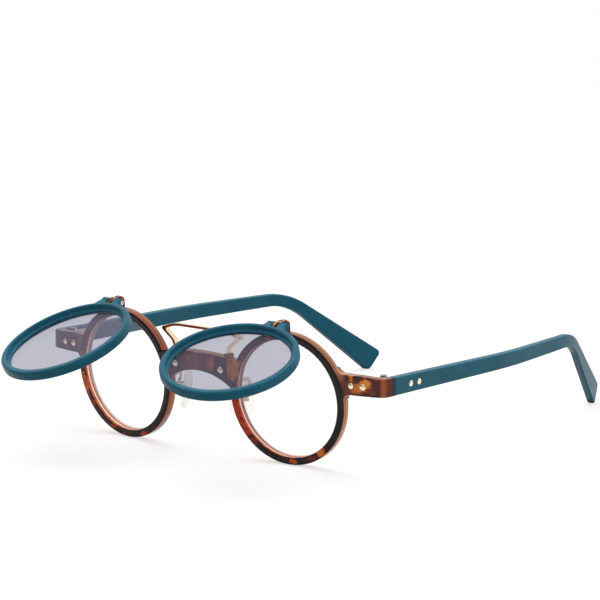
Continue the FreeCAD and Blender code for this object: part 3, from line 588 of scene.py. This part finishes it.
@dataclass(frozen=True)
class TealAcetate(Finish):
    """Satin teal acetate with a fine tumbled grain."""

    colour: Colour = rgb(28, 94, 114)
    shade: Colour = rgb(22, 85, 105)
    roughness: float = 0.42
    grain_roughness: float = 0.12
    clouds: Lumps = Lumps(9.0, 3.0, 0.5)
    cloud_fade: Span = (0.3, 0.7)
    grain: Relief = Relief(Lumps(0.16), depth=0.02, strength=0.25)

    def surface(self, graph: Graph) -> Wire:
        """Adds the faint clouds, the grain and the satin shine.

        Args:
            graph: The graph to add to.

        Returns:
            The shader.
        """
        place = graph.millimetres()
        clouds = graph.noise(place, self.clouds).step(*self.cloud_fade)
        grain = graph.noise(place, self.grain.lumps)
        return graph.principled({
            "Base Color": graph.mix(clouds, self.shade, self.colour),
            "Roughness": self.roughness - self.grain_roughness / 2 + grain * self.grain_roughness,
            "IOR": 1.45, "Specular IOR Level": 0.22, "Specular Tint": (0.7, 0.93, 1.0, 1.0),
            "Normal": graph.bump(grain, self.grain),
        })


@dataclass(frozen=True)
class LensGlass(Finish):
    """A lens that the background shows through, with the shine of its two faces.

    A lens with a face plane also shows its bevelled edge, with painted light: a painted reflection of the
    rim's amber, a painted white highlight, a dark band of painted shade where the rim's back shows
    through, and a faint painted glow. The edge goes by depth and edge_fade by radius, in millimetres.
    """

    tint: Colour
    gloss: Colour = WHITE
    shine: float = 0.5
    face: Optional[FacePlane] = None
    # Painted edge colours by depth: the rim's amber as a painted reflection, a painted white highlight,
    # then a dark band of painted shade
    edge: Layers = (
        (1.0, rgb(206, 108, 58)), (1.45, rgb(214, 132, 86)), (1.65, rgb(255, 228, 210)),
        (2.0, rgb(250, 218, 204)), (2.2, rgb(140, 104, 100)), (2.6, rgb(150, 116, 114)))
    edge_fade: Span = (18.82, 18.9)
    ior: float = 1.5
    glance_power: int = 5

    def surface(self, graph: Graph) -> Wire:
        """Adds the clear body, the edge with its painted light, and the shine, which grows towards a
        glancing view.

        Args:
            graph: The graph to add to.

        Returns:
            The shader.
        """
        through = graph.node("ShaderNodeBsdfTransparent", None, {"Color": self.tint})
        if self.face is not None:
            # The bevelled edge: painted reflection, painted highlight and painted shade, and its emission
            # is a faint painted glow
            place = graph.millimetres()
            painted_edge_tone = graph.layers(self.face.depth(graph, place), self.edge)
            painted_bevel = graph.principled({"Base Color": painted_edge_tone, "Roughness": 0.15, "Specular IOR Level": 0.2,
                                      "Emission Color": painted_edge_tone, "Emission Strength": 0.3})
            through = graph.blend(self.face.radius(graph, place).step(*self.edge_fade), through, painted_bevel)
        shine = graph.node("ShaderNodeBsdfGlossy", None, {"Color": self.gloss, "Roughness": 0.02})
        facing = graph.node("ShaderNodeLayerWeight", None, {"Blend": 0.5}, "Facing")
        straight = ((self.ior - 1) / (self.ior + 1)) ** 2
        share = (facing ** self.glance_power * (1 - straight) + straight) * self.shine
        return graph.blend(share, through, shine)


@dataclass(frozen=True)
class Metal(Finish):
    """Plated metal with fine polishing marks.

    Faces that look forward may have a painted dark reflection, which fades out towards the wearer's left.
    Then facing_fade is in parts of the normal, and the fade across X in millimetres.
    """

    colour: Colour
    shade: Colour
    roughness: float
    front_plate: Optional[Colour] = None
    facing_fade: Span = (-0.4, -0.85)
    worn_fade: Span = (11.0, 8.0)
    clouds: Lumps = Lumps(1.6, 3.0)
    cloud_fade: Span = (0.3, 0.7)
    marks: Relief = Relief(Lumps(0.25), depth=0.01, strength=0.15)
    marks_roughness: float = 0.06

    def surface(self, graph: Graph) -> Wire:
        """Adds the plating, its faint clouds, the painted dark reflection on forward faces, and the
        polishing marks.

        Args:
            graph: The graph to add to.

        Returns:
            The shader.
        """
        place = graph.millimetres()
        clouds = graph.noise(place, self.clouds).step(*self.cloud_fade)
        colour = graph.mix(clouds, self.shade, self.colour)
        # Painted dark reflection: forward faces are darkened, fading out towards the wearer's left
        if self.front_plate is not None:
            _, back, _ = graph.axes(graph.node("ShaderNodeTexCoord", output="Normal"))
            left, _, _ = graph.axes(place)
            painted_reflection_share = back.step(*self.facing_fade) * left.step(*self.worn_fade)
            colour = graph.mix(painted_reflection_share, colour, self.front_plate)
        marks = graph.noise(place, self.marks.lumps)
        return graph.principled({
            "Base Color": colour, "Metallic": 1.0,
            "Roughness": self.roughness + marks * self.marks_roughness,
            "Normal": graph.bump(marks, self.marks),
        })


@dataclass(frozen=True)
class Silicone(Finish):
    """Clear soft silicone with a faint straw colour, denser where it is seen edge on."""

    colour: Colour = rgb(244, 236, 214)
    clear: float = 0.1
    edge_milk: float = 0.5
    densest: float = 0.9
    haze: float = 0.12
    haze_lumps: Lumps = Lumps(1.5)
    roughness: float = 0.22
    haze_roughness: float = 0.5
    grain: Relief = Relief(Lumps(0.5), depth=0.02, strength=0.2)

    def surface(self, graph: Graph) -> Wire:
        """Adds the milky body and its see-through share.

        Args:
            graph: The graph to add to.

        Returns:
            The shader.
        """
        place = graph.millimetres()
        haze = graph.noise(place, self.haze_lumps) * self.haze
        edge = graph.node("ShaderNodeLayerWeight", None, {"Blend": 0.35}, "Facing")
        dense = edge ** 2 * self.edge_milk + self.clear + haze - self.haze / 2
        return graph.principled({
            "Base Color": self.colour, "IOR": 1.41, "Alpha": dense.at_most(self.densest),
            "Roughness": self.roughness + haze * self.haze_roughness,
            "Normal": graph.bump(graph.noise(place, self.grain.lumps), self.grain),
        })


@dataclass(frozen=True)
class PaleFloor(Finish):
    """A floor that is white to the camera and still shaded by the glasses. Its reach is in metres."""

    colour: Colour = (0.95, 0.915, 0.895)
    bounce: Colour = (0.27, 0.27, 0.27)
    glow: float = 0.6
    shadow_reach: Span = (0.12, 0.4)

    def surface(self, graph: Graph) -> Wire:
        """Adds the lit floor and its own glow, which is stronger away from the glasses.

        Args:
            graph: The graph to add to.

        Returns:
            The shader.
        """
        seen, mirrored = graph.rays("Is Camera Ray", "Is Glossy Ray")
        colour = graph.mix((seen + mirrored).at_most(1.0), self.bounce, self.colour)
        lit = graph.node("ShaderNodeBsdfDiffuse", None, {"Color": colour})
        glow = graph.node("ShaderNodeEmission", None, {"Color": WHITE, "Strength": 1.0})
        x, y, _ = graph.axes(graph.node("ShaderNodeTexCoord", output="Object"))
        far = x.reach(y).step(*self.shadow_reach)
        return graph.blend(seen * (self.glow + far * (1 - self.glow)), lit, glow)


TORTOISE = Tortoise()
TEAL = TealAcetate()
GOLD = Metal(rgb(250, 236, 208), rgb(242, 222, 186), roughness=0.2)
PALE_GOLD = Metal(rgb(232, 222, 200), rgb(214, 202, 178), roughness=0.18)
# The brow bar's forward faces carry a painted dark reflection
BAR_GOLD = Metal(rgb(244, 226, 196), rgb(236, 214, 180), roughness=0.05, front_plate=rgb(112, 52, 30))
STEEL = Metal(rgb(205, 203, 200), rgb(180, 178, 176), roughness=0.22)
# The clear lenses carry the painted light of their edges
CLEAR = LensGlass((0.995, 0.995, 0.997), face=FACE)
TINTED = LensGlass((0.665, 0.682, 0.72), gloss=(0.88, 0.75, 1.0), shine=0.8)
SILICONE = Silicone()
FLOOR = PaleFloor()


# Sub-assemblies


def put(name: str, data: bpy.types.ID) -> bpy.types.Object:
    """Puts data into the scene as a new object.

    Args:
        name: The object's name.
        data: Its mesh, lamp or camera.

    Returns:
        The object.
    """
    made = bpy.data.objects.new(name, data)
    bpy.context.scene.collection.objects.link(made)
    return made


def put_mesh(name: str, mesh: bmesh.types.BMesh) -> bpy.types.Object:
    """Puts a working mesh, which is used up, into the scene as a new object.

    Args:
        name: The name of the object and of its mesh.
        mesh: The working mesh.

    Returns:
        The object.
    """
    data = bpy.data.meshes.new(name)
    mesh.to_mesh(data)
    mesh.free()
    return put(name, data)


def skin(mesh: bmesh.types.BMesh, rows: Sequence[Sequence[bmesh.types.BMVert]]) -> None:
    """Adds a closed band of faces between each row of points and the next.

    Args:
        mesh: The mesh to add to.
        rows: Closed rows of equally many points.
    """
    for first, second in zip(rows, rows[1:]):
        for i in range(len(first)):
            j = (i + 1) % len(first)
            mesh.faces.new((first[i], first[j], second[j], second[i]))


def on_both_sides(finish: Finish, *names: str) -> dict[str, Finish]:
    """One finish for the nodes of pieces that both sides have."""
    return {side.node(name): finish for name in names for side in Side}


class Assembly:
    """A group of pieces that are built and dressed together."""

    def build(self) -> list[bpy.types.Object]:
        """Builds new meshes, if the group has any."""
        return []

    def finishes(self) -> Mapping[str, Finish]:
        """The finish of each node of the group."""
        return {}

    def dress(self) -> None:
        """Gives each node of the group its finish."""
        for name, finish in self.finishes().items():
            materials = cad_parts[name].data.materials
            materials.clear()
            materials.append(finish.material())
            LOG.info("dressed %s", name)


@dataclass
class Front(Assembly):
    """The moulded front with its clear lenses, trim and hinge leaves."""

    gilt: tuple[str, ...] = ("bridge_stud", "endpiece_rivet_1", "endpiece_rivet_2")
    plain_metal: tuple[str, ...] = ("front_hinge_leaf", "temple_hinge_screw", "pad_screw")

    def finishes(self) -> Mapping[str, Finish]:
        """The finish of each node of the front."""
        return {"front_frame": TORTOISE, "brow_bar": BAR_GOLD, **on_both_sides(CLEAR, "clear_lens"),
                **on_both_sides(PALE_GOLD, "pad_arm"), **on_both_sides(GOLD, *self.gilt),
                **on_both_sides(STEEL, *self.plain_metal)}


@dataclass
class Temples(Assembly):
    """The two folding temples with their hinge leaves and rivets."""

    gilt: tuple[str, ...] = ("temple_rivet_1", "temple_rivet_2")

    def finishes(self) -> Mapping[str, Finish]:
        """The finish of each node of the temples."""
        return {**on_both_sides(TEAL, "temple"), **on_both_sides(STEEL, "temple_hinge_leaf"),
                **on_both_sides(GOLD, *self.gilt)}


@dataclass
class SunRims(Assembly):
    """The two raised sun rims, stepped down to their tinted lenses, and their hinge screws.

    Sizes are in millimetres and degrees. Heights are measured from a rim's outer face. A cut is a row of
    radii and heights. A corner whose point lies within cut_fit of a cut, on a face that looks the same way
    by cut_facing or more, is shaded as part of that cut.
    """

    solid_lens_depth: float = 1.1
    front_cut: Profile = ((19.72, 1.0), (19.5, -1.35), (18.7, -1.8))
    back_cut: Profile = ((18.6, -2.1), (19.9, -3.4))
    cut_fit: float = 0.03
    cut_facing: float = 0.99
    weld: float = 0.001
    lens_top: float = -1.75
    lens_radius: float = 18.72
    lens_thickness: float = 0.8
    lens_edge: float = 0.12
    around: int = 192
    crease: float = 28.0

    def build(self) -> list[bpy.types.Object]:
        """Builds both stepped rims and their lenses and hangs them on their bodies.

        Returns:
            The rims and lenses.
        """
        made = []
        for side in Side:
            seat = self._seat(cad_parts[side.node("sun_lens")])
            rim = self._rim(side, seat)
            lens = self._lens(side, seat)
            for piece, node, slot in ((rim, "sun_rim", "teal"), (lens, "sun_lens", "tinted_lens")):
                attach(piece, side.node("flip"))
                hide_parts(side.node(node))
                made.append(piece)
        return made

    def _seat(self, lens: bpy.types.Object) -> Matrix:
        """The place of a rim's outer face: origin on the rim's axis, +Z out of the face, in millimetres.

        Args:
            lens: The solid lens in the rim, whose outer face looks up.

        Returns:
            The matrix from the face's coordinates to the frame of the solids, in metres.
        """
        points = [vertex.co for vertex in lens.data.vertices]
        low = Vector(map(min, zip(*points)))
        high = Vector(map(max, zip(*points)))
        flat = max(lens.data.polygons, key=lambda face: face.area).normal
        outward = flat if flat.z > 0 else -flat
        turn = outward.to_track_quat("Z", "Y").to_matrix().to_4x4()
        origin = (low + high) / 2 + outward * (self.solid_lens_depth * MM)
        return Matrix.Translation(origin) @ turn @ Matrix.Scale(MM, 4)

    def _turned(self, name: str, profile: Profile, seat: Matrix) -> bpy.types.Object:
        """A closed solid of revolution.

        Args:
            name: The object's name.
            profile: Radius and height of each corner, from the top to the bottom.
            seat: Where the solid stands.

        Returns:
            The new object.
        """
        mesh = bmesh.new()
        angles = [math.tau * i / self.around for i in range(self.around)]
        rows = []
        for radius, height in profile:
            points = [(radius * math.cos(angle), radius * math.sin(angle), height) for angle in angles]
            rows.append([mesh.verts.new(point) for point in points])
        for upper, lower in zip(rows, rows[1:]):
            for i in range(self.around):
                j = (i + 1) % self.around
                mesh.faces.new((upper[i], lower[i], lower[j], upper[j]))
        mesh.faces.new(rows[0])
        mesh.faces.new(list(reversed(rows[-1])))
        mesh.transform(seat)
        return put_mesh(name, mesh)

    def _rim(self, side: Side, seat: Matrix) -> bpy.types.Object:
        """The solid rim, stepped in front of the lens and eased behind it.

        Args:
            side: The wearer's side.
            seat: The place of the rim's outer face.

        Returns:
            The stepped rim.
        """
        cuts = (self.front_cut, self.back_cut)
        cutters = [self._turned("cutter", cut, seat) for cut in cuts]
        mesh = bmesh.new()
        mesh.from_mesh(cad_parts[side.node("sun_rim")].data)
        bmesh.ops.remove_doubles(mesh, verts=mesh.verts, dist=self.weld * MM)
        rough = put_mesh("rough_rim", mesh)
        for cutter in cutters:
            cut = rough.modifiers.new("cut", "BOOLEAN")
            cut.operation = "DIFFERENCE"
            cut.solver = "EXACT"
            cut.object = cutter
        evaluated = rough.evaluated_get(bpy.context.evaluated_depsgraph_get())
        final = bpy.data.meshes.new_from_object(evaluated)
        for spare in (rough, *cutters):
            bpy.data.objects.remove(spare)
        rim = self._finished(side.node("stepped_rim"), final, TEAL)
        self._smooth_cuts(final, seat, [pair for cut in cuts for pair in zip(cut, cut[1:])])
        return rim

    def _smooth_cuts(self, data: bpy.types.Mesh, seat: Matrix, cones: Sequence[Profile]) -> None:
        """Gives the corners of the cut faces the normals of true cones.

        Args:
            data: The mesh of a stepped rim, with its creases marked.
            seat: The place of the rim's outer face.
            cones: The upper and lower radius and height of each cone.
        """
        to_face, turn = seat.inverted(), seat.to_3x3().normalized()
        normals = [corner.vector.copy() for corner in data.corner_normals]
        for face in data.polygons:
            for corner in face.loop_indices:
                point = to_face @ data.vertices[data.loops[corner].vertex_index].co
                radius = math.hypot(point.x, point.y)
                for (upper, top), (lower, foot) in cones:
                    lean = Vector((foot - top, upper - lower)).normalized()
                    off = (radius - upper) * lean.x + (point.z - top) * lean.y
                    cone = turn @ Vector((lean.x * point.x / radius, lean.x * point.y / radius, lean.y))
                    if abs(off) < self.cut_fit and cone.dot(face.normal) > self.cut_facing:
                        normals[corner] = cone
        data.normals_split_custom_set(normals)

    def _lens(self, side: Side, seat: Matrix) -> bpy.types.Object:
        """The tinted lens at the foot of the step, with its edges broken.

        Args:
            side: The wearer's side.
            seat: The place of the rim's outer face.

        Returns:
            The lens.
        """
        top, low = self.lens_top, self.lens_top - self.lens_thickness
        inner = self.lens_radius - self.lens_edge
        disc = self._turned("rough_lens", (
            (inner, top), (self.lens_radius, top - self.lens_edge),
            (self.lens_radius, low + self.lens_edge), (inner, low)), seat)
        data = disc.data
        bpy.data.objects.remove(disc)
        return self._finished(side.node("seated_lens"), data, TINTED)

    def _finished(self, name: str, data: bpy.types.Mesh, finish: Finish) -> bpy.types.Object:
        """An object of a mesh, smooth but for its creases.

        Args:
            name: The object's name.
            data: Its mesh.
            finish: Its finish.

        Returns:
            The object.
        """
        data.name = name
        data.materials.clear()
        data.materials.append(finish.material())
        data.polygons.foreach_set("use_smooth", [True] * len(data.polygons))
        data.set_sharp_from_angle(angle=math.radians(self.crease))
        return put(name, data)

    def finishes(self) -> Mapping[str, Finish]:
        """The finish of each node of the sun rims that is shown as it is."""
        return on_both_sides(STEEL, "flip_screw")


@dataclass
class NosePads(Assembly):
    """Two soft nose pads, each a domed drop with a rounded edge and a boss for its screw.

    Sizes are in millimetres and degrees, in pad coordinates: -X towards the nose, +Y back, +Z up. The
    place is that of the left pad, in the frame of the solids.
    """

    place: Vector = field(default_factory=lambda: Vector((11.2, FACE.y + 5.4, FACE.z - 2.72)))
    lean: float = 7.0
    splay: float = 30.0
    height: float = 13.4
    width: float = 8.0
    top_width: float = 7.2
    lower_round: float = 3.8
    upper_round: float = 3.2
    thickness: float = 2.2
    dome: float = 19.0
    edge_round: float = 0.45
    boss_radius: float = 1.1
    boss_height: float = 1.6
    boss_length: float = 1.5
    boss_root: float = 0.3
    screw_radius: float = 0.38
    around: int = 72
    dome_rings: int = 8
    edge_rings: int = 6
    boss_steps: int = 16

    def build(self) -> list[bpy.types.Object]:
        """Builds both pads and hangs them on their bodies.

        Returns:
            The two pads.
        """
        pads = []
        for side in Side:
            mesh = bmesh.new()
            self._body(mesh)
            self._boss(mesh)
            mesh.transform(self._to_frame(side))
            if side is Side.RIGHT:
                bmesh.ops.reverse_faces(mesh, faces=mesh.faces)
            pad = put_mesh(side.node("soft_pad"), mesh)
            pad.data.polygons.foreach_set("use_smooth", [True] * len(pad.data.polygons))
            pad.data.materials.append(SILICONE.material())
            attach(pad, side.node("pad"))
            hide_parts(side.node("nose_pad"))
            pads.append(pad)
        return pads

    def _to_frame(self, side: Side) -> Matrix:
        """The turn and move from pad coordinates to the frame of the solids.

        Args:
            side: The wearer's side.

        Returns:
            The matrix from millimetres to metres.
        """
        turn = Matrix.Rotation(math.radians(-self.splay), 4, "Z")
        turn = turn @ Matrix.Rotation(math.radians(-self.lean), 4, "Y")
        mirror = Matrix.Diagonal((side.value, 1, 1, 1))
        return Matrix.Scale(MM, 4) @ mirror @ Matrix.Translation(self.place) @ turn

    def _outline(self) -> list[tuple[float, float]]:
        """The drop outline, with evenly many points on each of its four rounds.

        Returns:
            Points (y, z) round the outline.
        """
        half_h, half_low, half_top = self.height / 2, self.width / 2, self.top_width / 2
        rounds = [(half_low, -half_h, self.lower_round), (half_top, half_h, self.upper_round),
                  (-half_top, half_h, self.upper_round), (-half_low, -half_h, self.lower_round)]
        points = []
        steps = self.around // len(rounds)
        for turn, (y, z, radius) in enumerate(rounds):
            middle_y, middle_z = y - math.copysign(radius, y), z - math.copysign(radius, z)
            for i in range(steps):
                angle = math.radians(QUARTER_TURN * (turn - 1) + QUARTER_TURN * i / (steps - 1))
                points.append((middle_y + radius * math.cos(angle), middle_z + radius * math.sin(angle)))
        return points

    def _front_x(self, y: float, z: float) -> float:
        """The domed face towards the nose."""
        return -self.thickness / 2 + self.dome - math.sqrt(self.dome ** 2 - y * y - z * z)

    def _body(self, mesh: bmesh.types.BMesh) -> None:
        """Adds the pad: rings of its outline over the dome, round the edge and across the flat back.

        Args:
            mesh: The mesh to add to.
        """
        outline = self._outline()
        back = self.thickness / 2
        edge = self.edge_round / (self.width / 2)
        rows: list[list[bmesh.types.BMVert]] = []

        def ring(share: float, sunk: float, domed: bool) -> None:
            """One ring at a share of the outline, sunk below the domed face or the flat back."""
            row = []
            for wide, high in outline:
                y, z = wide * share, high * share
                x = self._front_x(y, z) + sunk if domed else back - sunk
                row.append(mesh.verts.new((x, y, z)))
            rows.append(row)

        insets = [i / self.dome_rings * (1 - edge) for i in range(1, self.dome_rings + 1)]
        turns = [math.pi / 2 * i / self.edge_rings for i in range(1, self.edge_rings + 1)]
        rounds = [(1 - edge * (1 - math.sin(turn)), self.edge_round * (1 - math.cos(turn)))
                  for turn in turns]
        for share in insets:
            ring(share, 0.0, True)
        for share, sunk in rounds:
            ring(share, sunk, True)
        for share, sunk in reversed(rounds):
            ring(share, sunk, False)
        for share in reversed(insets[:-1]):
            ring(share, 0.0, False)
        skin(mesh, rows)
        mesh.faces.new(list(reversed(rows[0])))
        mesh.faces.new(rows[-1])

    def _boss(self, mesh: bmesh.types.BMesh) -> None:
        """Adds the boss behind the pad: a block with a round end and a hole for the screw.

        Args:
            mesh: The mesh to add to.
        """
        axis = self.thickness / 2 + self.boss_length - self.boss_radius / 2
        root = self.thickness / 2 - self.boss_root
        outer = [(root, -self.boss_radius)]
        for i in range(self.boss_steps + 1):
            angle = -math.pi / 2 + math.pi * i / self.boss_steps
            outer.append((axis + self.boss_radius * math.cos(angle), self.boss_radius * math.sin(angle)))
        outer.append((root, self.boss_radius))
        hole = []
        for x, y in outer:
            angle = math.atan2(y, x - axis)
            hole.append((axis + self.screw_radius * math.cos(angle), self.screw_radius * math.sin(angle)))
        half = self.boss_height / 2
        rows = []
        for line, z in ((outer, -half), (outer, half), (hole, half), (hole, -half)):
            rows.append([mesh.verts.new((x, y, z)) for x, y in line])
        skin(mesh, [*rows, rows[0]])


# Studio


@dataclass(frozen=True)
class Lamp:
    """A square lamp, with its place and side in metres and its power in watts."""

    name: str
    place: tuple[float, float, float]
    size: float
    power: float


@dataclass
class Studio:
    """A white floor, soft light from above and the photograph's camera.

    Sizes are in metres, apart from the camera's lens and sensor. The room is dimmer than white below, and
    brightens upwards and backwards over bright_above and bright_behind, in parts of the direction.
    """

    floor_size: float = 16.0
    floor_cells: int = 8
    lamps: tuple[Lamp, ...] = (
        Lamp("key", (-0.4, 0.25, 1.2), size=1.2, power=13.0),
        Lamp("fill", (1.2, -0.4, 0.75), size=0.9, power=5.0))
    ambient: float = 0.75
    room: float = 0.22
    bright_above: Span = (0.05, 0.6)
    bright_behind: Span = (-0.2, 0.5)
    camera_place: Vector = field(default_factory=lambda: Vector((0.769604, -0.930337, 0.247769)))
    camera_target: Vector = field(default_factory=lambda: Vector((0.014653, -0.019607, 0.046247)))
    camera_range: Span = (0.01, 100.0)
    lens_mm: float = 226.44
    sensor_mm: float = 36.0

    def build(self) -> None:
        """Builds the floor, world, lamps and camera."""
        self._floor()
        self._world()
        for lamp in self.lamps:
            self._hang(lamp)
        self._camera()
        bpy.context.scene.view_settings.view_transform = "Standard"
        LOG.info("built the studio")

    def _floor(self) -> None:
        """Lays the floor."""
        mesh = bmesh.new()
        cells = self.floor_cells
        bmesh.ops.create_grid(mesh, x_segments=cells, y_segments=cells, size=self.floor_size / 2)
        floor = put_mesh("studio_floor", mesh)
        floor.data.materials.append(FLOOR.material())

    def _world(self) -> None:
        """Sets a white background that lights the glasses gently."""
        world = bpy.data.worlds.new("studio")
        bpy.context.scene.world = world
        world.use_nodes = True
        graph = Graph(world.node_tree)
        seen, mirrored, passed = graph.rays("Is Camera Ray", "Is Glossy Ray", "Is Transmission Ray")
        direct = (seen + passed).at_most(1.0)
        _, back, up = graph.axes(graph.node("ShaderNodeTexCoord", output="Generated"))
        bright = up.step(*self.bright_above).at_least(back.step(*self.bright_behind))
        room = self.room + (1 - self.room) * bright
        strength = direct + (1 - direct) * (mirrored * room + (1 - mirrored) * room * self.ambient)
        white = graph.node("ShaderNodeBackground", None, {"Color": WHITE, "Strength": strength})
        graph.node("ShaderNodeOutputWorld", None, {"Surface": white})

    def _hang(self, lamp: Lamp) -> None:
        """Hangs a lamp, which reflections leave out.

        Args:
            lamp: The lamp.
        """
        data = bpy.data.lights.new(lamp.name, "AREA")
        data.size = lamp.size
        data.energy = lamp.power
        hung = put(lamp.name, data)
        hung.visible_glossy = False
        self._aim(hung, Vector(lamp.place))

    def _camera(self) -> None:
        """Sets the camera at the photograph's viewing angle."""
        data = bpy.data.cameras.new("photo_camera")
        data.sensor_width = self.sensor_mm
        data.lens = self.lens_mm
        data.clip_start, data.clip_end = self.camera_range
        camera = put("photo_camera", data)
        self._aim(camera, self.camera_place)
        bpy.context.scene.camera = camera

    def _aim(self, thing: bpy.types.Object, place: Vector) -> None:
        """Puts a lamp or the camera in its place, looking at the glasses.

        Args:
            thing: The lamp or camera.
            place: Its place.
        """
        thing.location = place
        thing.rotation_mode = "QUATERNION"
        thing.rotation_quaternion = (self.camera_target - place).to_track_quat("-Z", "Y")


def main() -> None:
    """Builds and dresses every part of the glasses."""
    logging.basicConfig(level=logging.INFO, format="%(name)s: %(message)s")
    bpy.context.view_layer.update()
    for part in (Front(), Temples(), SunRims(), NosePads()):
        for piece in part.build():
            LOG.info("built %s with %d faces", piece.name, len(piece.data.polygons))
        part.dress()
    Studio().build()


if __name__ == "__main__":
    main()
